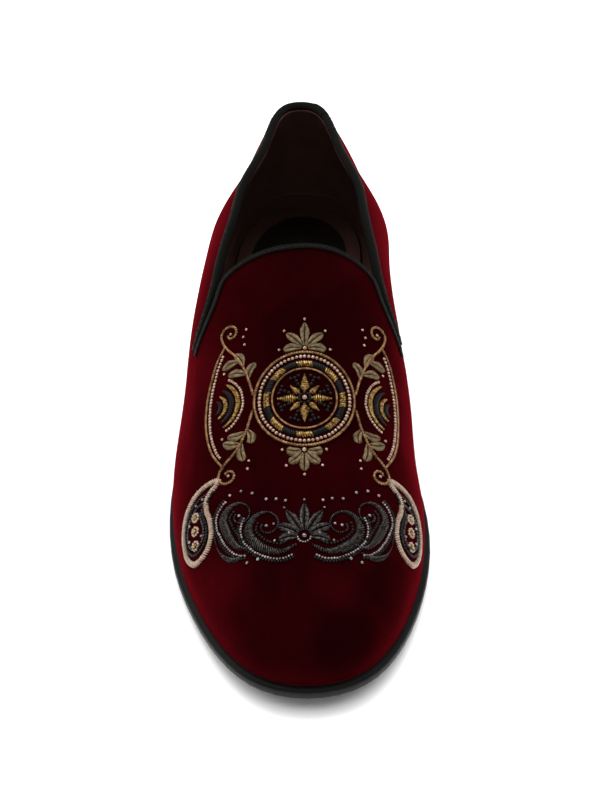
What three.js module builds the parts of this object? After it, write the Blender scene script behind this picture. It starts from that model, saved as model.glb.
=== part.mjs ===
// A right-foot velvet house slipper of the loafer family: a one-piece velvet upper with a high round
// vamp, a slit at each side and a bound top edge, on a thin leather sole with a low stacked heel.
// Millimetres, +Z up. The toe points to -Y, the little-toe (lateral) side is -X and the big-toe
// (medial) side is +X. The origin is on the floor under the middle of the sole.
import * as THREE from "three";

// Driving dimensions.
const soleLength = 296;
const ballWidth = 105;
const soleThickness = 4.6;
const soleEdgeRound = 1.1;
const forefootLedge = 2.4; // how far the sole stands out past the upper at the forefoot
const waistLedge = 1.1; // the same at the waist and heel
const heelHeight = 16; // floor to the underside of the sole at the heel
const topPieceThickness = 5;
const heelTaper = 1.5; // how far the heel draws in from the sole to the floor
const heelInset = 0.6; // the heel's top edge, inside the sole's edge
const heelReach = 76; // from the back of the sole to the heel's front face
const heelHollow = 3; // how far the heel's front face curves in
const toeSpring = 7.2;
const lastHeight = 96; // the scale of the last's height over the feather line
const upperWall = 1.8;
const backHeight = 89.5; // floor to the wall's top edge at the back of the heel
const slitAt = 155.5; // from the back of the sole to the foot of each side slit
const tongueAt = 129; // from the back of the sole to the top of the vamp
const ribbonThickness = 0.6; // the binding is a ribbon folded over the edge
const ribbonDepth = 1.8; // how far it reaches down each face of the wall
const ribbonSlack = 0.4; // between each side of the ribbon and the wall, which curves away from it
const slitGap = 0.5; // between the two bindings in a side slit
const insoleThickness = 2.6;
const heelPadThickness = 1.2;
const heelPadMargin = 7; // the insole that shows beside the heel pad
const heelPadBack = 16; // from the back of the sole to the heel pad's rear edge
const heelPadFront = 112; // from the back of the sole to the heel pad's front edge
const clearance = 0.3; // between pieces that touch

// Shapes with no length of their own.
const tongueSides = 2.0; // the vamp's top edge beside the slits: 1 leans in at once, 2 runs straight
const tongueTop = 3.0; // the vamp's top edge at its middle: 2 is round, more is flatter
const slitBlend = 0.12; // how gently the vamp's edge leaves the quarters' edge, as a share of a section
const leastBlend = 1e-6;
const lowVampShare = 0.84; // where the vamp's lower part ends at the toe, as a share of the slit's place
const heelPadCorners = 3.2; // 2 is an ellipse, more is squarer
const toeFanShare = 0.87; // where the toe's sections fan out from, as a share of the length
const heelFanShare = 0.14; // where the heel's sections fan out from

// Mesh fineness.
const soleStations = 44;
const quarterSteps = 54;
const vampSteps = 44;
const wallRows = 7;
const vampRows = 11;
const heelSteps = 40;
const breastSteps = 8;
const bindingArcSteps = 5;
const padSteps = 60;
const outlineStepsPerGuide = 60;
const normalStep = 0.4; // between the places that a surface normal is worked out from
const sameHeight = 0.01; // heights no further apart than this count as one
const halvings = 40; // of the share that finds a height on the wall
const placesPerMillimetre = 1e4; // points nearer than one of these are the same point

// The sole's outline from above, as the guide points of a closed smooth curve. Lateral is negative.
const soleGuides = [
  { along: -0.004, across: 0.0 },
  { along: 0.012, across: -0.21 },
  { along: 0.12, across: -0.335 },
  { along: 0.25, across: -0.347 },
  { along: 0.38, across: -0.377 },
  { along: 0.52, across: -0.464 },
  { along: 0.64, across: -0.514 },
  { along: 0.768, across: -0.49 },
  { along: 0.87, across: -0.39 },
  { along: 0.987, across: -0.198 },
  { along: 1.008, across: 0.063 },
  { along: 0.976, across: 0.306 },
  { along: 0.851, across: 0.462 },
  { along: 0.731, across: 0.519 },
  { along: 0.6, across: 0.46 },
  { along: 0.47, across: 0.35 },
  { along: 0.34, across: 0.276 },
  { along: 0.22, across: 0.317 },
  { along: 0.11, across: 0.333 },
  { along: 0.012, across: 0.222 },
];

// The underside of the sole over the floor, as shares of the heel height and of the toe spring.
const soleRise = [
  { along: 0.0, ofHeel: 1.0, ofSpring: 0 },
  { along: 0.27, ofHeel: 1.0, ofSpring: 0 },
  { along: 0.36, ofHeel: 0.88, ofSpring: 0 },
  { along: 0.45, ofHeel: 0.53, ofSpring: 0 },
  { along: 0.53, ofHeel: 0.2, ofSpring: 0 },
  { along: 0.6, ofHeel: 0.0, ofSpring: 0 },
  { along: 0.71, ofHeel: 0.0, ofSpring: 0 },
  { along: 0.79, ofHeel: 0.0, ofSpring: 0.12 },
  { along: 0.88, ofHeel: 0.0, ofSpring: 0.42 },
  { along: 1.0, ofHeel: 0.0, ofSpring: 1.0 },
];

// How far the sole stands out past the upper, from the waist's ledge (0) to the forefoot's (1).
const ledgeTable = [
  { along: 0.0, wide: 0.35 },
  { along: 0.25, wide: 0.1 },
  { along: 0.45, wide: 0.0 },
  { along: 0.62, wide: 1.0 },
  { along: 1.0, wide: 1.0 },
];

// The crown line along the top of the last: its height over the feather line as a share of the last's
// height, and its place across as a share of the ball width.
const crownTable = [
  { along: 0.14, height: 0.82, across: 0.005 },
  { along: 0.26, height: 0.785, across: 0.015 },
  { along: 0.36, height: 0.735, across: 0.035 },
  { along: 0.46, height: 0.69, across: 0.04 },
  { along: 0.56, height: 0.612, across: 0.045 },
  { along: 0.66, height: 0.51, across: 0.041 },
  { along: 0.76, height: 0.407, across: 0.045 },
  { along: 0.87, height: 0.3, across: 0.045 },
];

// The side of the last at each section: how far it flares out above the feather line as a share of
// the ball width, how high its side stands and how broad its top is, each as a share of the section.
const sectionTable = [
  { along: 0.0, flareLateral: 0.05, flareMedial: 0.06, side: 0.37, top: 0.88 },
  { along: 0.035, flareLateral: 0.052, flareMedial: 0.075, side: 0.375, top: 0.6 },
  { along: 0.14, flareLateral: 0.065, flareMedial: 0.13, side: 0.39, top: 0.38 },
  { along: 0.28, flareLateral: 0.21, flareMedial: 0.32, side: 0.52, top: 0.55 },
  { along: 0.42, flareLateral: 0.172, flareMedial: 0.25, side: 0.63, top: 0.65 },
  { along: 0.56, flareLateral: 0.078, flareMedial: 0.16, side: 0.62, top: 0.58 },
  { along: 0.68, flareLateral: 0.048, flareMedial: 0.02, side: 0.58, top: 0.604 },
  { along: 0.86, flareLateral: 0.025, flareMedial: 0.015, side: 0.593, top: 0.656 },
  { along: 1.0, flareLateral: 0.012, flareMedial: 0.01, side: 0.89, top: 0.66 },
];

// The quarters' top edge over the floor, as a share of the back height.
const topEdgeTable = [
  { along: 0.0, height: 1.0 },
  { along: 0.08, height: 0.982 },
  { along: 0.2, height: 0.94 },
  { along: 0.32, height: 0.88 },
  { along: 0.42, height: 0.765 },
  { along: 0.47, height: 0.675 },
  { along: 0.52, height: 0.48 },
];

const yOf = (along) => soleLength * (0.5 - along);
const alongOf = (y) => 0.5 - y / soleLength;
const mix = (a, b, share) => a + (b - a) * share;
const range = (count) => Array.from({ length: count }, (_, i) => i);
const quarterTurn = Math.PI / 2;

// A smooth curve through one column of a table, which never overshoots its rows.
function curveThrough(rows, column) {
  const x = rows.map((row) => row.along);
  const y = rows.map((row) => row[column]);
  const last = rows.length - 1;
  const slopes = range(last).map((i) => (y[i + 1] - y[i]) / (x[i + 1] - x[i]));
  const tangents = x.map((_, i) => {
    if (i === 0) return slopes[0];
    if (i === last) return slopes[last - 1];
    const [before, after] = [slopes[i - 1], slopes[i]];
    if (before * after <= 0) return 0;
    const weightBefore = x[i] - x[i - 1] + 2 * (x[i + 1] - x[i]);
    const weightAfter = x[i + 1] - x[i] + 2 * (x[i] - x[i - 1]);
    return (weightBefore + weightAfter) / (weightBefore / before + weightAfter / after);
  });
  return (along) => {
    const at = THREE.MathUtils.clamp(along, x[0], x[last]);
    let i = 0;
    while (i < last - 1 && at > x[i + 1]) i += 1;
    const step = x[i + 1] - x[i];
    const u = (at - x[i]) / step;
    const v = 1 - u;
    const bend = u * v * (v * tangents[i] - u * tangents[i + 1]) * step;
    return v * v * (1 + 2 * u) * y[i] + u * u * (3 - 2 * u) * y[i + 1] + bend;
  };
}

// Linear interpolation in rising xs.
function interpolate(xs, ys, x) {
  let low = 0;
  let high = xs.length - 1;
  while (high - low > 1) {
    const middle = (low + high) >> 1;
    if (xs[middle] <= x) low = middle;
    else high = middle;
  }
  const width = xs[high] - xs[low];
  return width > 0 ? mix(ys[low], ys[high], (x - xs[low]) / width) : ys[low];
}

// The points of a path again, evenly spaced by length.
function resample(path, steps) {
  const lengths = [0];
  path.slice(1).forEach((p, i) => lengths.push(lengths[i] + p.distanceTo(path[i])));
  const xs = path.map((p) => p.x);
  const ys = path.map((p) => p.y);
  return range(steps + 1).map((k) => {
    const at = (lengths.at(-1) * k) / steps;
    return new THREE.Vector2(interpolate(lengths, xs, at), interpolate(lengths, ys, at));
  });
}

// A closed outline seen from above: close-set points from the heel's back round by the lateral side.
class Outline {
  constructor(points) {
    const farthest = (better) => points.reduce((best, p, i) => (better(p, points[best]) ? i : best), 0);
    const back = farthest((p, q) => p.y > q.y);
    this.points = [...points.slice(back), ...points.slice(0, back)];
    const tip = this.points.indexOf(points[farthest((p, q) => p.y < q.y)]);
    this.lateral = this.points.slice(0, tip + 1);
    this.medial = [this.points[0], ...this.points.slice(tip).reverse()];
    this.backY = this.lateral[0].y;
    this.tipY = this.lateral.at(-1).y;
  }

  // The closed cubic curve that the guide points pull towards themselves, fitted to the sole's size.
  static ofSole(guides) {
    const pulled = guides.flatMap((_, i) => {
      const four = range(4).map((k) => guides[(i + k) % guides.length]);
      return range(outlineStepsPerGuide).map((step) => {
        const u = step / outlineStepsPerGuide;
        const v = 1 - u;
        const pulls = [v ** 3, 3 * u ** 3 - 6 * u ** 2 + 4, 3 * v ** 3 - 6 * v ** 2 + 4, u ** 3];
        const sum = (column) => four.reduce((total, row, k) => total + (row[column] * pulls[k]) / 6, 0);
        return new THREE.Vector2(sum("across"), -sum("along"));
      });
    });
    const box = new THREE.Box2().setFromPoints(pulled);
    const middle = box.getCenter(new THREE.Vector2());
    const scale = new THREE.Vector2(ballWidth, soleLength).divide(box.getSize(new THREE.Vector2()));
    return new Outline(pulled.map((p) => p.sub(middle).multiply(scale)));
  }

  // The outline's point on one side, at a place along the length.
  onSide(side, y) {
    const half = this[side];
    const x = interpolate(half.map((p) => -p.y), half.map((p) => p.x), -y);
    return new THREE.Vector2(x, y);
  }

  // The outline drawn in by a distance that may change along the length.
  inset(distanceAt) {
    const count = this.points.length;
    const drawnIn = this.points.map((point, i) => {
      const before = this.points[(i + count - 1) % count];
      const after = this.points[(i + 1) % count];
      const tangent = after.clone().sub(before).normalize();
      const inward = new THREE.Vector2(-tangent.y, tangent.x);
      return point.clone().addScaledVector(inward, distanceAt(point.y));
    });
    return new Outline(drawnIn);
  }

  // The stretch from the medial side round the heel to the lateral side, evenly spaced.
  roundHeel(y, steps) {
    const medial = this.medial.filter((p) => p.y > y).reverse();
    const lateral = this.lateral.filter((p) => p.y > y).slice(1);
    return resample([this.onSide("medial", y), ...medial, ...lateral, this.onSide("lateral", y)], steps);
  }

  // The stretch from the lateral side round the toe to the medial side, evenly spaced.
  roundToe(y, steps) {
    const lateral = this.lateral.filter((p) => p.y < y);
    const medial = this.medial.filter((p) => p.y < y).reverse().slice(1);
    return resample([this.onSide("lateral", y), ...lateral, ...medial, this.onSide("medial", y)], steps);
  }
}

// The sole's levels.
const ofHeelAt = curveThrough(soleRise, "ofHeel");
const ofSpringAt = curveThrough(soleRise, "ofSpring");
const undersideAt = (y) => heelHeight * ofHeelAt(alongOf(y)) + toeSpring * ofSpringAt(alongOf(y));
const seatAt = (y) => undersideAt(y) + soleThickness + clearance; // what stands on the sole starts here

// The sole's outline, and the feather line inside it where the upper meets the sole.
const soleOutline = Outline.ofSole(soleGuides);
const ledgeAt = curveThrough(ledgeTable, "wide");
const feather = soleOutline.inset((y) => mix(waistLedge, forefootLedge, ledgeAt(alongOf(y))));

// The crown line of the last.
const crownHeightAt = curveThrough(crownTable, "height");
const crownAcrossAt = curveThrough(crownTable, "across");
function crownAt(y) {
  const along = alongOf(y);
  const height = seatAt(y) + lastHeight * crownHeightAt(along);
  return new THREE.Vector3(ballWidth * crownAcrossAt(along), y, height);
}

// The end of the last, whose sections fan out from one point of the crown line. Facing is 1 at the
// heel and -1 at the toe.
class Fan {
  constructor(share, facing) {
    this.facing = facing;
    this.crown = crownAt(yOf(share));
    this.slope = (this.crown.z - crownAt(this.crown.y - facing).z) / facing;
    const rim = feather.points.filter((p) => (p.y - this.crown.y) * facing > 0);
    rim.push(feather.onSide("medial", this.crown.y), feather.onSide("lateral", this.crown.y));
    rim.sort((p, q) => this.angleOf(p) - this.angleOf(q));
    this.angles = rim.map((p) => this.angleOf(p));
    this.reaches = rim.map((p) => Math.hypot(p.x - this.crown.x, p.y - this.crown.y));
  }

  angleOf(p) {
    return Math.atan2(Math.max(0, (p.y - this.crown.y) * this.facing), p.x - this.crown.x);
  }

  footUnder(p) {
    const angle = this.angleOf(p);
    const reach = interpolate(this.angles, this.reaches, angle);
    const x = this.crown.x + reach * Math.cos(angle);
    return new THREE.Vector2(x, this.crown.y + reach * Math.sin(angle) * this.facing);
  }
}

// The outer surface of the upper. A place on it is given in the plan of the feather line: from the
// crown line out to the feather line runs one section of the last.
class Last {
  constructor() {
    this.heel = new Fan(heelFanShare, 1);
    this.toe = new Fan(toeFanShare, -1);
    for (const column of ["flareLateral", "flareMedial", "side", "top"]) {
      this[column] = curveThrough(sectionTable, column);
    }
  }

  // The section through a place: its crown, its foot and the crown line's slope there.
  section(place) {
    const fan = [this.heel, this.toe].find((end) => (place.y - end.crown.y) * end.facing > 0);
    if (fan) return { crown: fan.crown, foot: fan.footUnder(place), slope: fan.slope };
    const crown = crownAt(place.y);
    return { crown, foot: feather.onSide(place.x < crown.x ? "lateral" : "medial", place.y), slope: 0 };
  }

  // The place a share of the way from a foot on the feather line up to its crown.
  placeOn(foot, share) {
    const { crown } = this.section(foot);
    return new THREE.Vector2(mix(foot.x, crown.x, share), mix(foot.y, crown.y, share));
  }

  point(place) {
    const { crown, foot, slope } = this.section(place);
    const out = new THREE.Vector2(foot.x - crown.x, foot.y - crown.y);
    const reach = out.length();
    out.divideScalar(reach);
    const along = alongOf(foot.y);
    const flareShare = mix(this.flareLateral(along), this.flareMedial(along), (1 + out.x) / 2);
    const flare = ballWidth * flareShare;
    const shoulder = this.top(along) * reach;
    const footZ = seatAt(foot.y);
    const crownZ = (y) => crown.z + slope * (y - crown.y);
    const sideZ = mix(footZ, crownZ(foot.y), this.side(along));
    const shoulderY = crown.y + shoulder * out.y;
    const t = 1 - Math.hypot(place.x - crown.x, place.y - crown.y) / reach;
    const bezier = (a, b, c, d) => {
      const s = 1 - t;
      return s * s * s * a + 3 * s * s * t * b + 3 * s * t * t * c + t * t * t * d;
    };
    return new THREE.Vector3(
      bezier(foot.x, foot.x + out.x * flare, crown.x + shoulder * out.x, crown.x),
      bezier(foot.y, foot.y + out.y * flare, shoulderY, crown.y),
      bezier(footZ, sideZ, crownZ(shoulderY), crown.z),
    );
  }

  normal(place) {
    const nudged = (x, y) => this.point(new THREE.Vector2(place.x + x, place.y + y));
    const alongX = nudged(normalStep, 0).sub(nudged(-normalStep, 0));
    const alongY = nudged(0, normalStep).sub(nudged(0, -normalStep));
    return alongX.cross(alongY).normalize();
  }

  // How far up its section a foot's wall reaches a height over the floor, as a share.
  shareAtHeight(foot, height) {
    let low = 0;
    let high = 1;
    for (let i = 0; i < halvings; i += 1) {
      const middle = (low + high) / 2;
      if (this.point(this.placeOn(foot, middle)).z < height) low = middle;
      else high = middle;
    }
    return low;
  }
}

const lastForm = new Last();

// The upper's edge lines, as places on the last.
const bindingProud = clearance + ribbonThickness; // how far a binding stands past the wall's edge
const slitOpening = 2 * bindingProud + slitGap;
const cornerStep = slitOpening / 2 / Math.SQRT2;
const slitY = soleLength / 2 - slitAt;
const topEdgeShareAt = curveThrough(topEdgeTable, "height");
const topEdgeAt = (y) => backHeight * topEdgeShareAt(alongOf(y));

// One run of wall up a section, from the feather line to a share of the way to the crown.
function column(foot, share) {
  return range(wallRows + 1).map((row) => lastForm.placeOn(foot, (share * row) / wallRows));
}

function quarterColumns() {
  const feet = feather.roundHeel(slitY + cornerStep, quarterSteps);
  return feet.map((foot) => column(foot, lastForm.shareAtHeight(foot, topEdgeAt(foot.y))));
}

// The share up a foot's section that leaves the slit's opening over the quarters' top edge.
function shareOverSlit(foot) {
  const slope = (topEdgeAt(foot.y + normalStep) - topEdgeAt(foot.y - normalStep)) / (2 * normalStep);
  return lastForm.shareAtHeight(foot, topEdgeAt(foot.y) + slitOpening * Math.hypot(1, slope));
}

// Where the vamp's top edge starts beside a slit: a foot, and the share up its section.
function vampCorner(side) {
  const foot = feather.onSide(side, slitY - cornerStep);
  return { foot, share: shareOverSlit(foot) };
}

// The lower part of the vamp, from the lateral slit round the toe to the medial one.
function vampColumns() {
  const feet = feather.roundToe(slitY - cornerStep, vampSteps);
  return feet.map((foot, k) => {
    const across = k / vampSteps;
    const { share } = vampCorner(across < 0.5 ? "lateral" : "medial");
    const towardsToe = Math.sin(Math.PI * across);
    const middleShare = 1 - lowVampShare * (1 - vampCorner("lateral").share);
    return column(foot, mix(share, middleShare, towardsToe));
  });
}

// The larger of two values, with the step between them rounded over a width.
function softMax(a, b, width) {
  const closeness = Math.max(0, 1 - Math.abs(a - b) / width);
  return Math.max(a, b) + (width * closeness ** 2) / 4;
}

// The vamp's rounded top edge, from the lateral slit over the tongue to the medial one. Up each slit
// it follows the quarters' edge, and then it leaves it in one round arch.
function vampTopEdge() {
  return range(vampSteps + 1).map((k) => {
    const turn = quarterTurn * (1 - (2 * k) / vampSteps);
    const side = turn > 0 ? "lateral" : "medial";
    const { foot, share } = vampCorner(side);
    const rise = Math.cos(turn) ** (2 / tongueSides);
    const reach = (1 - share) * Math.abs(Math.sin(turn)) ** (2 / tongueTop);
    const under = feather.onSide(side, mix(foot.y, soleLength / 2 - tongueAt, rise));
    const blend = slitBlend * Math.sin(Math.PI * rise) + leastBlend;
    return lastForm.placeOn(under, Math.min(1, softMax(1 - reach, shareOverSlit(under), blend)));
  });
}

// A triangle mesh that grows by patches and shares the points that they have in common.
class Patchwork {
  constructor() {
    this.points = [];
    this.faces = [];
    this.known = new Map();
  }

  index(point) {
    const key = [point.x, point.y].map((value) => Math.round(value * placesPerMillimetre)).join();
    if (!this.known.has(key)) this.known.set(key, this.points.push(point) - 1);
    return this.known.get(key);
  }

  triangle(a, b, c) {
    if (a !== b && b !== c && c !== a) this.faces.push([a, b, c]);
  }

  // Neighbouring columns of points, joined by two triangles for each cell.
  addColumns(columns) {
    const indices = columns.map((points) => points.map((point) => this.index(point)));
    for (let j = 0; j + 1 < indices.length; j += 1) {
      for (let i = 0; i + 1 < indices[j].length; i += 1) {
        this.triangle(indices[j][i], indices[j + 1][i], indices[j + 1][i + 1]);
        this.triangle(indices[j][i], indices[j + 1][i + 1], indices[j][i + 1]);
      }
    }
  }

  // The edges that only one triangle has, in that triangle's direction.
  rim() {
    const edges = this.faces.flatMap(([a, b, c]) => [[a, b], [b, c], [c, a]]);
    const present = new Set(edges.map((edge) => edge.join()));
    return edges.filter(([a, b]) => !present.has(`${b},${a}`));
  }
}

function geometryOf(points, faces) {
  const geometry = new THREE.BufferGeometry();
  geometry.setFromPoints(points);
  geometry.setIndex(faces.flat());
  geometry.computeVertexNormals();
  return geometry;
}

// The wall: the patchwork on the last, and again a wall's thickness further in, joined at the rims.
function upperGeometry() {
  const plan = new Patchwork();
  const lower = vampColumns();
  const quarters = quarterColumns();
  plan.addColumns([...quarters, ...lower, quarters[0]]);
  const topEdge = vampTopEdge();
  const vamp = lower.map((points, k) => {
    const start = points.at(-1);
    return range(vampRows + 1).map((row) => start.clone().lerp(topEdge[k], row / vampRows));
  });
  plan.addColumns(vamp);
  const outer = plan.points.map((place) => lastForm.point(place));
  const inner = plan.points.map((place, i) => {
    const inward = lastForm.normal(place).negate();
    const onFeatherLine = outer[i].z < seatAt(place.y) + sameHeight;
    if (onFeatherLine) inward.setZ(0).normalize();
    return outer[i].clone().addScaledVector(inward, upperWall);
  });
  const count = outer.length;
  const inside = plan.faces.map(([a, b, c]) => [c + count, b + count, a + count]);
  const rims = plan.rim().flatMap(([a, b]) => [[b, a, a + count], [b, a + count, b + count]]);
  return geometryOf([...outer, ...inner], [...plan.faces, ...inside, ...rims]);
}

// A folded ribbon astride the wall's edge, along a line of places on the last.
function bindingGeometry(line) {
  const frames = line.map((place) => {
    const normal = lastForm.normal(place);
    return { normal, middle: lastForm.point(place).addScaledVector(normal, -upperWall / 2) };
  });
  const pullIn = (end, next) => {
    end.middle.lerp(next.middle, slitGap / end.middle.distanceTo(next.middle));
  };
  pullIn(frames[0], frames[1]); // each end stops short of the slit's foot
  pullIn(frames.at(-1), frames.at(-2));
  const slot = upperWall / 2 + ribbonSlack;
  const outside = slot + ribbonThickness;
  const arc = range(bindingArcSteps + 1).map((i) => {
    const angle = (Math.PI * i) / bindingArcSteps;
    return [outside * Math.cos(angle), bindingProud * Math.sin(angle)];
  });
  const foot = -ribbonDepth;
  const slotCorners = [[-slot, foot], [-slot, clearance], [slot, clearance], [slot, foot]];
  const profile = [[outside, foot], ...arc, [-outside, foot], ...slotCorners];
  const rings = frames.map(({ normal, middle }, i) => {
    const before = frames[Math.max(0, i - 1)].middle;
    const after = frames[Math.min(frames.length - 1, i + 1)].middle;
    const up = normal.clone().cross(after.clone().sub(before)).normalize();
    return profile.map(([across, rise]) => {
      return middle.clone().addScaledVector(normal, across).addScaledVector(up, rise);
    });
  });
  const cap = triangulate(profile.map(([x, y]) => new THREE.Vector2(x, y)));
  return loftGeometry(rings.reverse(), cap);
}

function triangulate(ring) {
  return THREE.ShapeUtils.triangulateShape(ring, []);
}

// Rings of points in one order, joined side by side and closed by the same cap at both ends.
function loftGeometry(rings, cap) {
  const size = rings[0].length;
  const faces = [];
  for (let j = 0; j + 1 < rings.length; j += 1) {
    for (let i = 0; i < size; i += 1) {
      const next = (i + 1) % size;
      const [a, b, c, d] = [j * size + i, j * size + next, (j + 1) * size + next, (j + 1) * size + i];
      faces.push([a, b, c], [a, c, d]);
    }
  }
  const top = (rings.length - 1) * size;
  faces.push(...cap.map(([a, b, c]) => [c, b, a]), ...cap.map(([a, b, c]) => [a + top, b + top, c + top]));
  return geometryOf(rings.flat(), faces);
}

// A flat piece that follows the sole's rise, from levels of an outline and a height each. Its
// stations lie at the same place along the length on both sides, and its caps run across them.
function plateGeometry(levels) {
  const shares = range(soleStations + 1).map((i) => (1 - Math.cos((Math.PI * i) / soleStations)) / 2);
  const rings = levels.map(({ outline, heightAt }) => {
    const places = shares.map((share) => mix(outline.backY, outline.tipY, share));
    const lateral = places.map((y) => outline.onSide("lateral", y));
    const medial = places.slice(1, -1).map((y) => outline.onSide("medial", y)).reverse();
    return [...lateral, ...medial].map((p) => new THREE.Vector3(p.x, p.y, heightAt(p.y)));
  });
  const size = 2 * soleStations;
  const cap = range(soleStations).flatMap((i) => {
    const [a, b, c, d] = [i, i + 1, size - i - 1, (size - i) % size];
    const first = b === c ? [] : [[a, b, c]];
    const second = a === d ? [] : [[a, c, d]];
    return [...first, ...second];
  });
  return loftGeometry(rings, cap);
}

function outsoleGeometry() {
  const rounding = [0, 0.5, 1].map((share) => quarterTurn * share);
  const steps = rounding.map((angle) => ({
    inset: soleEdgeRound * (1 - Math.sin(angle)),
    rise: soleEdgeRound * (1 - Math.cos(angle)),
  }));
  const upwards = [...steps].reverse().map(({ inset, rise }) => ({ inset, rise: soleThickness - rise }));
  const levels = [...steps, ...upwards].map(({ inset, rise }) => ({
    outline: soleOutline.inset(() => inset),
    heightAt: (y) => undersideAt(y) + rise,
  }));
  return plateGeometry(levels);
}

function insoleGeometry() {
  const outline = feather.inset(() => upperWall + clearance);
  return plateGeometry([
    { outline, heightAt: seatAt },
    { outline, heightAt: (y) => seatAt(y) + insoleThickness },
  ]);
}

function heelPadGeometry() {
  const edge = feather.inset(() => upperWall + clearance + heelPadMargin);
  const middleY = soleLength / 2 - (heelPadBack + heelPadFront) / 2;
  const halfLength = (heelPadFront - heelPadBack) / 2;
  const softened = (value) => Math.sign(value) * Math.abs(value) ** (2 / heelPadCorners);
  const points = range(padSteps).map((i) => {
    const angle = quarterTurn + (2 * Math.PI * i) / padSteps;
    const y = middleY + halfLength * softened(Math.sin(angle));
    const [lateral, medial] = [edge.onSide("lateral", y).x, edge.onSide("medial", y).x];
    return new THREE.Vector2(mix(lateral, medial, (1 + softened(Math.cos(angle))) / 2), y);
  });
  const outline = new Outline(points);
  const underside = (y) => seatAt(y) + insoleThickness + clearance;
  return plateGeometry([
    { outline, heightAt: underside },
    { outline, heightAt: (y) => underside(y) + heelPadThickness },
  ]);
}

// A slice of the heel between two heights over the floor.
function heelGeometry(bottom, top) {
  const front = soleLength / 2 - heelReach;
  const rings = [bottom, top].map((z) => {
    const drawnIn = heelInset + heelTaper * (1 - z / heelHeight);
    const side = soleOutline.inset(() => drawnIn).roundHeel(front, heelSteps);
    const breast = range(breastSteps - 1).map((i) => {
      const share = (i + 1) / breastSteps;
      const point = side.at(-1).clone().lerp(side[0], share);
      return point.setY(front + heelHollow * 4 * share * (1 - share));
    });
    return [...side, ...breast].map((p) => new THREE.Vector3(p.x, p.y, z));
  });
  return loftGeometry(rings, triangulate(rings[0]));
}

const velvet = new THREE.MeshStandardMaterial({ color: 0x4e070b, roughness: 0.9, metalness: 0 });
const ribbon = new THREE.MeshStandardMaterial({ color: 0x1b1917, roughness: 0.8, metalness: 0 });
const padLeather = new THREE.MeshStandardMaterial({ color: 0x14110f, roughness: 0.45, metalness: 0 });
const soleLeather = new THREE.MeshStandardMaterial({ color: 0x262423, roughness: 0.4, metalness: 0 });
const lining = new THREE.MeshStandardMaterial({ color: 0x2a1112, roughness: 0.55, metalness: 0 });
const heelRubber = new THREE.MeshStandardMaterial({ color: 0x181716, roughness: 0.8, metalness: 0 });

const pieces = [
  ["outsole", outsoleGeometry(), soleLeather],
  ["heel_stack", heelGeometry(topPieceThickness + clearance, heelHeight - clearance), soleLeather],
  ["heel_top_piece", heelGeometry(0, topPieceThickness), heelRubber],
  ["upper", upperGeometry(), velvet],
  ["quarter_binding", bindingGeometry(quarterColumns().map((points) => points.at(-1))), ribbon],
  ["vamp_binding", bindingGeometry(vampTopEdge()), ribbon],
  ["insole", insoleGeometry(), lining],
  ["heel_pad", heelPadGeometry(), padLeather],
];

const slipper = new THREE.Group();
for (const [name, geometry, material] of pieces) {
  const mesh = new THREE.Mesh(geometry, material);
  mesh.name = name;
  slipper.add(mesh);
}

export default slipper;
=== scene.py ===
"""An embroidered velvet slipper for the right foot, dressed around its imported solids.

Everything is in metres in the slipper's own frame: the toe points to -Y, up is +Z and the
little-toe side is -X. Only the needlework is drawn in millimetres, on a chart of the vamp.
"""

import logging
import math
from collections.abc import Callable, Iterable
from dataclasses import dataclass, field
from enum import Enum

import bmesh
import bpy
import numpy as np
from mathutils import Matrix, Vector
from mathutils.bvhtree import BVHTree


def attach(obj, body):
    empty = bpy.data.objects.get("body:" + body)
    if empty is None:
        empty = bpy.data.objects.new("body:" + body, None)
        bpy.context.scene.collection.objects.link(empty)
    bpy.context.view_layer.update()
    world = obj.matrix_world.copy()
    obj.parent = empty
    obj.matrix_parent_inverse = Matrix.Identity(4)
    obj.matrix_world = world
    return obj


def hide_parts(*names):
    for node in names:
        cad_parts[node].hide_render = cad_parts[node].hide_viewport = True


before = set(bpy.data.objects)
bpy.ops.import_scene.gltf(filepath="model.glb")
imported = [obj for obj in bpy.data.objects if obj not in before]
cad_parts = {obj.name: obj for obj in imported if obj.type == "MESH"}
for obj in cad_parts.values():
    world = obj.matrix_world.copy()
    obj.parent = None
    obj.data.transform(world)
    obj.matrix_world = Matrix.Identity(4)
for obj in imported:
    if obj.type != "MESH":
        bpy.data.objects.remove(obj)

log = logging.getLogger("slipper")

MM = 0.001
BODY = "root"
SAME_PLACE = 0.01 * MM
STRIP_MAP = "strip"
PATCHES = (0.3, 0.7)  # where a finish's noise turns from its dark tone to its light one
ROUGHNESS_SPREAD = 0.16  # how much a finish's roughness differs from place to place
SLIP = 0.05  # the hand's slips in the needlework, in millimetres
SHORTEST_STITCH = 0.25

Array = np.ndarray
Colour = tuple[float, float, float]
Place = tuple[float, float, float]
Spot = tuple[float, float]
ORIGIN: Spot = (0.0, 0.0)


class Slot(Enum):
    """The record's material slots."""

    VELVET = "velvet"
    BINDING = "binding"
    LINING = "lining"
    PAD = "pad_leather"
    SOLE = "sole_leather"
    HEEL = "heel_rubber"


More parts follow.
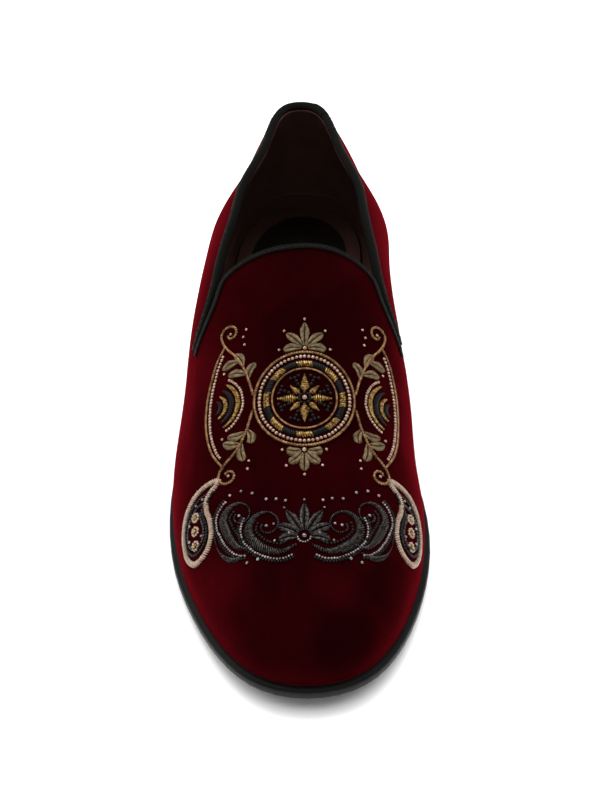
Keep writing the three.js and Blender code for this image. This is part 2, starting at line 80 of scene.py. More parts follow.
class Signal:
    """A value that changes over a surface: an output socket with arithmetic."""

    def __init__(self, recipe: "Recipe", socket: bpy.types.NodeSocket) -> None:
        """Wrap a socket of a recipe's tree."""
        self.recipe = recipe
        self.socket = socket

    def _maths(self, operation: str, first: object, second: object = 0.0) -> "Signal":
        """Add one Math node.

        Args:
            operation: the node's operation.
            first: the first value or signal.
            second: the second value or signal.

        Returns:
            The node's result.
        """
        node = self.recipe.node("ShaderNodeMath", {"operation": operation}, {0: first, 1: second})
        return Signal(self.recipe, node.outputs[0])

    def __add__(self, other: object) -> "Signal":
        """Add."""
        return self._maths("ADD", self, other)

    def __rsub__(self, other: object) -> "Signal":
        """Subtract this from a number."""
        return self._maths("SUBTRACT", other, self)

    def __mul__(self, other: object) -> "Signal":
        """Multiply."""
        return self._maths("MULTIPLY", self, other)

    def __truediv__(self, other: object) -> "Signal":
        """Divide."""
        return self._maths("DIVIDE", self, other)

    def __pow__(self, other: object) -> "Signal":
        """Raise to a power."""
        return self._maths("POWER", self, other)

    def wave(self, length: float) -> "Signal":
        """A wave from 0 to 1 that comes back after that length."""
        return self._maths("SINE", self * (2 * math.pi / length)) * 0.5 + 0.5

    def ramp(self, low: float, high: float, start: float = 0.0, end: float = 1.0) -> "Signal":
        """Rise smoothly from one value to another.

        Args:
            low: where the rise starts.
            high: where it ends.
            start: the value before it.
            end: the value after it.

        Returns:
            The eased value.
        """
        sockets = {0: self, 1: low, 2: high, 3: start, 4: end}
        node = self.recipe.node("ShaderNodeMapRange", {"interpolation_type": "SMOOTHSTEP"}, sockets)
        return Signal(self.recipe, node.outputs[0])


class NodeWriter:
    """Whatever adds nodes to a tree."""

    tree: bpy.types.NodeTree

    def node(
        self, kind: str, settings: dict | None = None, sockets: dict | None = None
    ) -> bpy.types.Node:
        """Add a node.

        Args:
            kind: the node's type.
            settings: its properties, which are set first.
            sockets: values, sockets or signals for its inputs, by index or name.

        Returns:
            The node.
        """
        node = self.tree.nodes.new(kind)
        for key, value in (settings or {}).items():
            setattr(node, key, value)
        for key, value in (sockets or {}).items():
            source = value.socket if isinstance(value, Signal) else value
            if isinstance(source, bpy.types.NodeSocket):
                self.tree.links.new(source, node.inputs[key])
            else:
                node.inputs[key].default_value = source
        return node


class Recipe(NodeWriter):
    """A material's node tree in the making."""

    def __init__(self, name: str) -> None:
        """Start an empty material of that name."""
        self.material = bpy.data.materials.new(name)
        self.material.use_nodes = True
        self.tree = self.material.node_tree
        self.tree.nodes.clear()

    def place(self, stretch: Colour = (1.0, 1.0, 1.0)) -> bpy.types.NodeSocket:
        """The place on the object, in metres, stretched along each axis."""
        source = self.node("ShaderNodeTexCoord").outputs["Object"]
        return self.node("ShaderNodeMapping", {}, {"Vector": source, "Scale": stretch}).outputs[0]

    def height(self) -> Signal:
        """The height over the floor."""
        return Signal(self, self.node("ShaderNodeSeparateXYZ", {}, {0: self.place()}).outputs["Z"])

    def reach_from(self, centre: Colour) -> Signal:
        """The distance from a place on the object."""
        sockets = {0: self.place(), 1: centre}
        node = self.node("ShaderNodeVectorMath", {"operation": "DISTANCE"}, sockets)
        return Signal(self, node.outputs["Value"])

    def strip(self, axis: str) -> Signal:
        """A piece's own running measure in metres: X along it, Y across it."""
        uv = self.node("ShaderNodeUVMap", {"uv_map": STRIP_MAP}).outputs[0]
        return Signal(self, self.node("ShaderNodeSeparateXYZ", {}, {0: uv}).outputs[axis])

    def noise(self, size: float, detail: float = 2.0, stretch: Colour = (1.0, 1.0, 1.0)) -> Signal:
        """Fractal noise.

        Args:
            size: the size of its blotches in metres.
            detail: how many finer layers it has.
            stretch: how much faster it changes along each axis.

        Returns:
            The noise, about 0 to 1.
        """
        sockets = {"Vector": self.place(stretch), "Scale": 1 / size, "Detail": detail}
        return Signal(self, self.node("ShaderNodeTexNoise", {}, sockets).outputs[0])

    def cells(self, size: float) -> Signal:
        """The soft pattern of cells of a size in metres."""
        sockets = {"Vector": self.place(), "Scale": 1 / size}
        node = self.node("ShaderNodeTexVoronoi", {"feature": "SMOOTH_F1"}, sockets)
        return Signal(self, node.outputs[0])

    def blend(self, share: Signal, low: Colour, high: Colour) -> bpy.types.NodeSocket:
        """Mix two colours by a share."""
        sockets = {0: share, 6: (*low, 1.0), 7: (*high, 1.0)}
        return self.node("ShaderNodeMix", {"data_type": "RGBA"}, sockets).outputs[2]

    def bump(
        self, height: Signal, depth: float, under: bpy.types.NodeSocket | None = None
    ) -> bpy.types.NodeSocket:
        """Turn a height from 0 to 1 into a normal.

        Args:
            height: the height.
            depth: what 1 stands for, in metres.
            under: a normal that this one lies on.

        Returns:
            The normal.
        """
        sockets = {"Height": height, "Distance": depth, "Strength": 1.0}
        if under is not None:
            sockets["Normal"] = under
        return self.node("ShaderNodeBump", {}, sockets).outputs[0]

    def finish(self, **sockets: object) -> bpy.types.Material:
        """Close the recipe with a Principled shader.

        Args:
            sockets: its inputs, with spaces written as underscores.

        Returns:
            The material.
        """
        named = {key.replace("_", " "): value for key, value in sockets.items()}
        shader = self.node("ShaderNodeBsdfPrincipled", {}, named)
        self.node("ShaderNodeOutputMaterial", {}, {0: shader.outputs[0]})
        return self.material


@dataclass(frozen=True)
class Velvet:
    """Cut-pile velvet: dark face on, lighter where the pile is seen from the side.

    Each row of the sheen and shade patches, which are painted sheen and painted shade in the base
    colour, holds its centre, its reach and how much lighter it is.
    """

    name: str = "wine_velvet"
    deep: Colour = (0.0105, 0.0005, 0.0009)
    bright: Colour = (0.056, 0.0015, 0.0033)
    sheen: Colour = (0.26, 0.007, 0.014)
    sheen_roughness: float = 0.4
    roughness: float = 0.95
    pile: float = 0.35 * MM
    pile_depth: float = 0.12 * MM
    pile_tone: float = 0.1
    crush: float = 9 * MM
    crush_stretch: Colour = (1.0, 0.6, 1.0)
    crush_depth: float = 0.25 * MM
    crush_share: float = 0.45
    drift: float = 55 * MM
    lie_and_sheen: tuple[float, float, float, float] = (0.36, 0.70, 0.0, 0.30)
    lie_and_sheen_tone: float = 0.8
    patch_core: float = 0.1
    patch_crush: float = 0.8
    patch_even: float = 0.6
    sheen_and_shade_patches: tuple[tuple[Colour, float, float], ...] = (
        ((0.014, -0.121, 0.036), 12 * MM, 0.38),
        ((0.030, -0.126, 0.028), 9 * MM, 0.10),
        ((0.017, -0.137, 0.024), 18 * MM, -0.45),
        ((-0.031, -0.114, 0.030), 22 * MM, 0.60),
        ((-0.026, -0.132, 0.022), 10 * MM, 0.40),
        ((-0.034, -0.020, 0.045), 22 * MM, 0.40),
        ((0.045, -0.030, 0.046), 9 * MM, 0.80),
        ((-0.014, 0.004, 0.076), 14 * MM, 0.15),
        ((0.002, -0.018, 0.066), 20 * MM, -0.35),
        ((0.030, -0.006, 0.064), 24 * MM, -0.70),
        ((0.012, -0.045, 0.056), 30 * MM, -0.45),
        ((0.036, -0.116, 0.028), 16 * MM, -0.60),
    )

    def material(self) -> bpy.types.Material:
        """Make the velvet."""
        recipe = Recipe(self.name)
        crushed = recipe.noise(self.crush, 3.0, self.crush_stretch)
        drift = recipe.noise(self.drift, 1.0)
        # The base colour's share here is partly the pile's own uneven tone and partly painted sheen
        # from the pile's lie.
        lie_and_sheen = (crushed * self.crush_share + drift * (1 - self.crush_share)).ramp(*self.lie_and_sheen)
        uneven = crushed * self.patch_crush + self.patch_even
        # Painted sheen and painted shade: each listed patch lightens or darkens the base colour
        # where the sheen or the shade falls.
        for centre, reach, amount in self.sheen_and_shade_patches:
            near = recipe.reach_from(centre).ramp(reach * self.patch_core, reach, amount, 0.0)
            lie_and_sheen = lie_and_sheen + near * uneven
        tufts = recipe.noise(self.pile, 2.0)
        tone = lie_and_sheen * self.lie_and_sheen_tone + tufts * self.pile_tone
        return recipe.finish(
            Base_Color=recipe.blend(tone, self.deep, self.bright),
            Roughness=lie_and_sheen * -0.1 + self.roughness,
            Specular_IOR_Level=0.0,
            Sheen_Weight=1.0,
            Sheen_Roughness=self.sheen_roughness,
            Sheen_Tint=(*self.sheen, 1.0),
            Normal=recipe.bump(tufts, self.pile_depth, recipe.bump(crushed, self.crush_depth)),
        )


@dataclass(frozen=True)
class RibbedRibbon:
    """Black ribbon with ribs across it."""

    name: str = "ribbed_ribbon"
    low: Colour = (0.0022, 0.0021, 0.0017)
    high: Colour = (0.0076, 0.0073, 0.0060)
    gloss: float = 0.07
    roughness: float = 0.6
    rib: float = 0.75 * MM
    rib_depth: float = 0.14 * MM
    rib_shade_share: float = 0.6
    wear: float = 6 * MM

    def material(self) -> bpy.types.Material:
        """Make the ribbon."""
        recipe = Recipe(self.name)
        ribs = recipe.strip("X").wave(self.rib)
        wear = recipe.noise(self.wear)
        # The ribs' part of the tone is painted shade: lighter on each rib's crest and darker in the
        # troughs between ribs.
        tone = ribs * self.rib_shade_share + wear * (1 - self.rib_shade_share)
        return recipe.finish(
            Base_Color=recipe.blend(tone, self.low, self.high),
            Roughness=wear * 0.15 + self.roughness,
            Specular_IOR_Level=self.gloss,
            Normal=recipe.bump(ribs, self.rib_depth),
        )


@dataclass(frozen=True)
class Leather:
    """Leather with a fine pebbled grain."""

    name: str
    dark: Colour
    light: Colour
    roughness: float
    gloss: float
    coat: float = 0.0
    grain: float = 0.9 * MM
    depth: float = 0.05 * MM
    step_at: float = 0.0
    step: float = 0.7 * MM
    step_tone: float = 0.5
    mottle: float = 14 * MM
    swell: float = 5 * MM
    swell_depth: float = 0.08 * MM
    coat_roughness: float = 0.2

    def material(self) -> bpy.types.Material:
        """Make the leather, with the edge of a second layer where it has one."""
        recipe = Recipe(self.name)
        grain = recipe.cells(self.grain)
        mottle = recipe.noise(self.mottle, 3.0)
        swell = recipe.bump(recipe.noise(self.swell), self.swell_depth)
        normal = recipe.bump(grain, self.depth, swell)
        if self.step_at:
            low, high = self.step_at - self.step, self.step_at + self.step
            rise = recipe.height().ramp(low, high, 1.0, 0.0)
            normal = recipe.bump(rise, self.step, normal)
            mottle = mottle * (1.0 - rise * self.step_tone)
        return recipe.finish(
            Base_Color=recipe.blend(mottle.ramp(*PATCHES), self.dark, self.light),
            Roughness=mottle * ROUGHNESS_SPREAD + (self.roughness - ROUGHNESS_SPREAD / 2),
            Coat_Weight=self.coat,
            Coat_Roughness=self.coat_roughness,
            Specular_IOR_Level=self.gloss,
            Normal=normal,
        )


@dataclass(frozen=True)
class StackedLeather:
    """Leather lifts one on another, dressed black."""

    name: str = "stacked_leather"
    dark: Colour = (0.0050, 0.0047, 0.0043)
    light: Colour = (0.0100, 0.0094, 0.0086)
    gloss: float = 0.16
    roughness: float = 0.36
    coat: float = 0.06
    coat_roughness: float = 0.25
    lift: float = 3.4 * MM
    joint_sharpness: float = 14.0
    joint_depth: float = 0.12 * MM
    mottle: float = 9 * MM

    def material(self) -> bpy.types.Material:
        """Make the stack, with a fine joint between each lift and the next."""
        recipe = Recipe(self.name)
        joint = recipe.height().wave(self.lift) ** self.joint_sharpness
        mottle = recipe.noise(self.mottle, 3.0)
        return recipe.finish(
            Base_Color=recipe.blend(mottle, self.dark, self.light),
            Roughness=mottle * 0.15 + self.roughness,
            Specular_IOR_Level=self.gloss,
            Coat_Weight=self.coat,
            Coat_Roughness=self.coat_roughness,
            Normal=recipe.bump(1.0 - joint, self.joint_depth),
        )


@dataclass(frozen=True)
class Rubber:
    """Matt moulded rubber."""

    name: str = "heel_rubber_black"
    dark: Colour = (0.009, 0.0088, 0.0085)
    light: Colour = (0.016, 0.0158, 0.015)
    roughness: float = 0.75
    gloss: float = 0.2
    speck: float = 0.6 * MM
    speck_depth: float = 0.04 * MM

    def material(self) -> bpy.types.Material:
        """Make the rubber."""
        recipe = Recipe(self.name)
        speck = recipe.noise(self.speck, 3.0)
        return recipe.finish(
            Base_Color=recipe.blend(speck, self.dark, self.light),
            Roughness=speck * 0.1 + self.roughness,
            Specular_IOR_Level=self.gloss,
            Normal=recipe.bump(speck, self.speck_depth),
        )


def unit(vectors: Array) -> Array:
    """Vectors of length one along the last axis."""
    return vectors / np.maximum(np.linalg.norm(vectors, axis=-1, keepdims=True), 1e-12)


@dataclass
class Skin:
    """An open surface of triangles."""

    points: Array
    faces: Array

    def _edges(self) -> tuple[Array, Array, Array]:
        """Find the edges.

        Returns:
            Each edge's two points, each face's three edges, and how many faces each edge has.
        """
        pairs = np.sort(self.faces[:, [[0, 1], [1, 2], [2, 0]]].reshape(-1, 2), axis=1)
        edges, index, count = np.unique(pairs, axis=0, return_inverse=True, return_counts=True)
        return edges, index.reshape(-1, 3), count

    def _gather(self, edges: Array) -> tuple[Array, Array]:
        """Add up each point's neighbours over some edges.

        Returns:
            The sum of the neighbours' places, and how many there are.
        """
        total = np.zeros_like(self.points)
        number = np.zeros(len(self.points))
        for here, there in ((0, 1), (1, 0)):
            np.add.at(total, edges[:, here], self.points[edges[:, there]])
            np.add.at(number, edges[:, here], 1)
        return total, number[:, None]

    def refined(self) -> "Skin":
        """One step of Loop subdivision, with the rim as a smooth curve of its own."""
        edges, of_face, count = self._edges()
        on_rim = count == 1
        opposite = np.zeros((len(edges), 3))
        for side, corner in ((0, 2), (1, 0), (2, 1)):
            np.add.at(opposite, of_face[:, side], self.points[self.faces[:, corner]])
        ends = self.points[edges].sum(axis=1)
        edge_points = np.where(on_rim[:, None], ends / 2, ends * 3 / 8 + opposite / 8)
        total, number = self._gather(edges)
        pull = np.where(number == 3, 3 / 16, 3 / (8 * np.maximum(number, 1)))
        moved = self.points * (1 - number * pull) + total * pull
        rim_total, rim_number = self._gather(edges[on_rim])
        moved = np.where(rim_number > 0, self.points * 3 / 4 + rim_total / 8, moved)
        a, b, c = self.faces.T
        ab, bc, ca = (of_face + len(self.points)).T
        quarters = ((a, ab, ca), (ab, b, bc), (ca, bc, c), (ab, bc, ca))
        faces = np.concatenate([np.stack(three, axis=1) for three in quarters])
        return Skin(np.concatenate([moved, edge_points]), faces)

    def normals(self) -> Array:
        """The outward direction at each point."""
        a, b, c = (self.points[self.faces[:, i]] for i in range(3))
        across = np.cross(b - a, c - a)
        total = np.zeros_like(self.points)
        for i in range(3):
            np.add.at(total, self.faces[:, i], across)
        return unit(total)

    def rims(self) -> list[Array]:
        """The closed lines of points round the surface's openings, highest first."""
        a, b, c = self.faces.T
        pairs = np.concatenate([np.stack(two, axis=1) for two in ((a, b), (b, c), (c, a))])
        known = {(int(p), int(q)) for p, q in pairs}
        following = {p: q for p, q in known if (q, p) not in known}
        loops = []
        while following:
            loop = [next(iter(following))]
            while loop[-1] in following:
                loop.append(following.pop(loop[-1]))
            loops.append(np.array(loop[:-1]))
        return sorted(loops, key=lambda loop: -self.points[loop, 2].mean())

    def shell(self, thickness: float) -> tuple[Array, Array]:
        """Give the surface a thickness on its inner side.

        Args:
            thickness: how far the inner face lies inside it.

        Returns:
            The closed shell's points and faces.
        """
        count = len(self.points)
        points = np.concatenate([self.points, self.points - self.normals() * thickness])
        faces = [self.faces, self.faces[:, ::-1] + count]
        for loop in self.rims():
            here, there = loop, np.roll(loop, -1)
            faces.append(np.stack([there, here, here + count], axis=1))
            faces.append(np.stack([there, here + count, there + count], axis=1))
        return points, np.concatenate(faces)


def merged(node: str) -> bmesh.types.BMesh:
    """A copy of a solid's mesh with its shared points joined."""
    work = bmesh.new()
    work.from_mesh(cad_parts[node].data)
    bmesh.ops.remove_doubles(work, verts=work.verts, dist=SAME_PLACE)
    return work


def skins_of(node: str, fold: float = math.radians(50)) -> tuple[Skin, Skin]:
    """Split a walled solid at its folded rims.

    Args:
        node: the solid's name.
        fold: the angle between faces that counts as a rim.

    Returns:
        Its outer face and its inner face.
    """
    work = merged(node)
    waiting = set(work.faces)
    islands = []
    while waiting:
        island = [waiting.pop()]
        for face in island:
            for edge in face.edges:
                if edge.calc_face_angle(0.0) > fold:
                    continue
                found = waiting.intersection(edge.link_faces)
                waiting -= found
                island.extend(found)
        islands.append(island)
    islands.sort(key=len, reverse=True)
    skins = []
    for island in islands[:2]:
        index = {vert: i for i, vert in enumerate({v: None for face in island for v in face.verts})}
        points = np.array([vert.co for vert in index], float)
        skins.append(Skin(points, np.array([[index[v] for v in face.verts] for face in island])))
    work.free()
    return tuple(sorted(skins, key=lambda skin: -np.ptp(skin.points[:, 0])))


def mesh_of(
    name: str, points: Iterable, faces: Iterable, strip: Array | None = None
) -> bpy.types.Mesh:
    """Make a smooth mesh.

    Args:
        name: its name.
        points: its points in metres.
        faces: its faces, as rows of point indices.
        strip: each point's running measure along and across the piece.

    Returns:
        The mesh.
    """
    mesh = bpy.data.meshes.new(name)
    mesh.from_pydata([tuple(p) for p in points], [], [tuple(int(i) for i in f) for f in faces])
    if strip is not None:
        layer = mesh.uv_layers.new(name=STRIP_MAP)
        corners = np.zeros(len(mesh.loops), int)
        mesh.loops.foreach_get("vertex_index", corners)
        layer.data.foreach_set("uv", np.asarray(strip, np.float32)[corners].ravel())
    mesh.shade_smooth()
    mesh.update()
    return mesh


def add_piece(
    mesh: bpy.types.Mesh, material: bpy.types.Material, replaces: tuple[str, ...] = ()
) -> None:
    """Put a finished mesh on the shoe as a piece.

    Args:
        mesh: the piece's mesh, whose name it takes.
        material: its material.
        replaces: the solids that it stands for.
    """
    piece = bpy.data.objects.new(mesh.name, mesh)
    bpy.context.scene.collection.objects.link(piece)
    piece.data.materials.clear()
    piece.data.materials.append(material)
    if replaces:
        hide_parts(*replaces)
    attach(piece, BODY)
    log.info("%s: %d faces", piece.name, len(mesh.polygons))


def loft(name: str, rings: Array, strip: Array | None = None) -> bpy.types.Mesh:
    """Join closed rings of points side by side and close both ends.

    Args:
        name: the mesh's name.
        rings: points by ring and place round it, turning so that the faces look outwards.
        strip: a running measure for each of them.

    Returns:
        The mesh.
    """
    count, size = rings.shape[:2]
    grid = np.arange(count * size).reshape(count, size)
    turned = np.roll(grid, -1, axis=1)
    quads = np.stack([grid[:-1], turned[:-1], turned[1:], grid[1:]], axis=-1).reshape(-1, 4)
    faces = [*quads.tolist(), grid[0, ::-1].tolist(), grid[-1].tolist()]
    flat_strip = None if strip is None else strip.reshape(-1, 2)
    return mesh_of(name, rings.reshape(-1, 3), faces, flat_strip)


def run_length(path: Array) -> Array:
    """The length along a path at each of its points."""
    return np.concatenate([[0.0], np.cumsum(np.linalg.norm(np.diff(path, axis=0), axis=1))])


def at_lengths(rows: Array, running: Array, lengths: Array) -> Array:
    """The rows that belong to given lengths along a path.

    Args:
        rows: places or directions along the path.
        running: the length along the path at each of them.
        lengths: the lengths.

    Returns:
        One row for each length.
    """
    return np.stack([np.interp(lengths, running, column) for column in rows.T], axis=1)


def evenly(path: Array, pitch: float) -> Array:
    """Points along a path at even steps of about a pitch, both ends kept."""
    running = run_length(path)
    count = max(2, round(running[-1] / pitch) + 1)
    return at_lengths(path, running, np.linspace(0, running[-1], count))


@dataclass
class EdgeLine:
    """A run of the upper's top edge: its middle line and the directions along it."""

    middle: Array
    outward: Array
    upward: Array

    def running(self) -> Array:
        """The length along the line at each point."""
        return run_length(self.middle)

    def at(self, across: float, rise: float) -> Array:
        """A line beside this one."""
        return self.middle + self.outward * across + self.upward * rise

    def part(self, lengths: Array) -> "EdgeLine":
        """The line at the given lengths along it."""
        running = self.running()
        rows = (self.middle, self.outward, self.upward)
        return EdgeLine(*(at_lengths(row, running, lengths) for row in rows))


@dataclass(frozen=True)
class Fold:
    """A soft trough in the velvet from one place to another, or a ridge if its depth is below 0."""

    start: Place
    end: Place
    width: float
    depth: float

    def sink(self, points: Array) -> Array:
        """How far each point sinks."""
        line = np.array(self.end) - self.start
        share = np.clip((points - self.start) @ line / (line @ line), 0, 1)
        reach = np.linalg.norm(points - self.start - share[:, None] * line, axis=1)
        return self.depth * np.exp(-((reach / self.width) ** 2))


FOLDS = (
    Fold((-0.040, -0.024, 0.050), (-0.030, -0.052, 0.052), 5.0 * MM, 0.50 * MM),
    Fold((-0.044, -0.034, 0.040), (-0.041, -0.062, 0.036), 5.5 * MM, -0.35 * MM),
    Fold((0.042, -0.022, 0.050), (0.034, -0.050, 0.052), 5.0 * MM, 0.55 * MM),
    Fold((0.045, -0.034, 0.040), (0.046, -0.064, 0.034), 5.5 * MM, -0.35 * MM),
    Fold((-0.022, -0.066, 0.052), (0.026, -0.070, 0.050), 9.0 * MM, 0.40 * MM),
    Fold((0.012, -0.118, 0.036), (0.024, -0.124, 0.031), 7.0 * MM, 0.45 * MM),
    Fold((-0.030, -0.108, 0.034), (-0.022, -0.132, 0.026), 7.0 * MM, 0.40 * MM),
    Fold((-0.004, -0.128, 0.032), (0.004, -0.136, 0.026), 6.0 * MM, -0.30 * MM),
    Fold((-0.045, 0.030, 0.040), (-0.043, 0.062, 0.034), 8.0 * MM, 0.45 * MM),
    Fold((0.045, 0.026, 0.040), (0.041, 0.060, 0.034), 8.0 * MM, 0.45 * MM),
)


@dataclass
class Upper:
    """The velvet upper and its lining."""

    levels: int = 2
    velvet_thickness: float = 1.0 * MM
    lining_thickness: float = 0.7 * MM
    foot_gap: int = 2
    folds: tuple[Fold, ...] = FOLDS
    velvet: Velvet = field(default_factory=Velvet)
    lining: Leather = field(default_factory=lambda: LINING)

    def __post_init__(self) -> None:
        """Read the wall's two faces from the solid, refine them and press in the soft folds."""
        self.outside, self.inside = skins_of("upper")
        for _ in range(self.levels):
            self.outside = self.outside.refined()
            self.inside = self.inside.refined()
        sunk = sum(fold.sink(self.outside.points) for fold in self.folds)
        self.outside.points -= self.outside.normals() * sunk[:, None]

    def edge_lines(self) -> dict[str, EdgeLine]:
        """Split the top edge at the slits.

        Returns:
            The runs, by the solid that binds them.
        """
        loop = self.outside.rims()[0]
        here = self.outside.points[loop]
        there = self.inside.points[self.inside.rims()[0]]
        partner = np.array([there[np.linalg.norm(there - p, axis=1).argmin()] for p in here])
        middle = (here + partner) / 2
        outward = unit(here - partner)
        tangent = unit(np.roll(middle, -1, axis=0) - np.roll(middle, 1, axis=0))
        upward = unit(np.cross(tangent, outward))
        sides = (np.flatnonzero(middle[:, 0] * side > 0) for side in (-1, 1))
        feet = sorted(min(side, key=lambda i: middle[i, 2]) for side in sides)
        order = np.roll(np.arange(len(loop)), -feet[0])
        split, gap = feet[1] - feet[0], self.foot_gap
        runs = [order[gap : split - gap], order[split + gap : len(order) - gap]]
        runs.sort(key=lambda run: -middle[run, 1].max())
        return {
            node: EdgeLine(middle[run], outward[run], upward[run])
            for node, run in zip(("quarter_binding", "vamp_binding"), runs)
        }

    def build(self) -> None:
        """Make the velvet and the lining, which together stand for the wall."""
        mesh = mesh_of("velvet_upper", *self.outside.shell(self.velvet_thickness))
        add_piece(mesh, self.velvet.material(), ("upper",))
        mesh = mesh_of("lining_skin", *self.inside.shell(self.lining_thickness))
        add_piece(mesh, self.lining.material(), ("upper",))


@dataclass
class Bindings:
    """The ribbed ribbon over the top edge, the lap of its ends and the piping inside its foot."""

    lines: dict[str, EdgeLine]
    half_slot: float = 1.2 * MM
    thickness: float = 0.6 * MM
    depth: float = 1.8 * MM
    rise: float = 0.3 * MM
    arc_steps: int = 9
    foot_steps: int = 5
    lap_at: Place = (0.014, 0.128, 0.088)
    lap_length: float = 9.0 * MM
    lap_rise: float = 0.3 * MM
    lap_steps: int = 16
    cord: float = 0.45 * MM
    cord_drop: float = 0.8
    cord_sides: int = 8
    stitch: Place = (1.7 * MM, 0.28 * MM, 0.26 * MM)
    stitch_pitch: float = 2.7 * MM
    stitch_drop: float = 0.55
    ribbon: RibbedRibbon = field(default_factory=RibbedRibbon)

    def profile(self, over_lap: float = 0.0) -> Array:
        """The ribbon's section: across the wall and up from its edge, in order round it."""
        thickness = self.thickness + over_lap
        outer = self.half_slot + thickness
        angles = np.linspace(0, math.pi, self.arc_steps)
        over = np.stack([outer * np.cos(angles), self.rise + thickness * np.sin(angles)], axis=1)
        back = angles[::-1]
        under = np.stack([self.half_slot * np.cos(back), self.rise * np.sin(back)], axis=1)
        half = thickness / 2
        turn = np.linspace(math.pi, 2 * math.pi, self.foot_steps)
        foot = np.stack([half * np.cos(turn), half * np.sin(turn)], axis=1)
        left = foot + (-(self.half_slot + half), -self.depth + half)
        right = foot + (self.half_slot + half, -self.depth + half)
        return np.concatenate([over, left, under, right])

    def _sweep(self, name: str, line: EdgeLine, profile: Array) -> bpy.types.Mesh:
        """Sweep a section along a line.

        Args:
            name: the mesh's name.
            line: the line.
            profile: the section, across the wall and up from its edge.

        Returns:
            The mesh.
        """
        around = run_length(profile)
        across = line.outward[:, None] * profile[None, :, :1]
        rings = line.middle[:, None] + across + line.upward[:, None] * profile[None, :, 1:]
        strip = np.stack(np.broadcast_arrays(line.running()[:, None], around[None]), axis=-1)
        return loft(name, rings[:, ::-1], strip[:, ::-1])

    def build(self) -> None:
        """Sweep the ribbon along each run of the edge, and add its lap and the piping."""
        black = self.ribbon.material()
        for node, line in self.lines.items():
            mesh = self._sweep(node.replace("binding", "ribbon"), line, self.profile())
            add_piece(mesh, black, (node,))
        collar = self.lines["quarter_binding"]
        nearest = np.linalg.norm(collar.middle - self.lap_at, axis=1).argmin()
        half_lap = self.lap_length / 2
        lap = collar.running()[nearest] + np.linspace(-half_lap, half_lap, self.lap_steps)
        mesh = self._sweep("ribbon_lap", collar.part(lap), self.profile(self.lap_rise))
        add_piece(mesh, black)
        turn = np.linspace(0, 2 * math.pi, self.cord_sides + 1)[:-1]
        section = np.stack([self.cord * np.cos(turn), self.cord * np.sin(turn)], axis=1)
        beside_ribbon = self.half_slot + self.thickness + self.cord * 0.45
        section += (-beside_ribbon, -self.depth * self.cord_drop)
        mesh = self._sweep("inner_piping", collar, section)
        add_piece(mesh, PIPING.material())

    def sew(self, work: "Needlework") -> None:
        """Sew the ribbon down with a row of stitches on either side of the edge.

        Args:
            work: what it is sewn in.
        """
        pitch = self.stitch_pitch
        for line in self.lines.values():
            row = line.part(np.arange(pitch, line.running()[-1] - pitch, pitch))
            along = np.gradient(row.middle, axis=0)
            sizes = np.tile(self.stitch, (len(along), 1))
            for side in (1, -1):
                across = side * (self.half_slot + self.thickness)
                places = row.at(across, -self.depth * self.stitch_drop)
                work.sew(Yarn.BLACK, Grain.STITCH, places, along, row.outward * side, sizes)


def smooth_copy(
    node: str, name: str, soften: float, fold: float = math.radians(35), segments: int = 3
) -> bpy.types.Mesh:
    """Copy a solid with its edges softened and its flanks shaded smooth.

    Args:
        node: the solid.
        name: the copy's name.
        soften: how far its edges are rounded, in metres.
        fold: the angle that counts as an edge.
        segments: the steps round a softened edge.

    Returns:
        The mesh.
    """
    work = merged(node)
    if soften:
        edges = [edge for edge in work.edges if edge.calc_face_angle(0.0) > fold]
        rounding = {"segments": segments, "profile": 0.5, "affect": "EDGES", "clamp_overlap": True}
        bmesh.ops.bevel(work, geom=edges, offset=soften, **rounding)
    mesh = bpy.data.meshes.new(name)
    work.to_mesh(mesh)
    work.free()
    mesh.shade_smooth()
    mesh.set_sharp_from_angle(angle=fold)
    return mesh


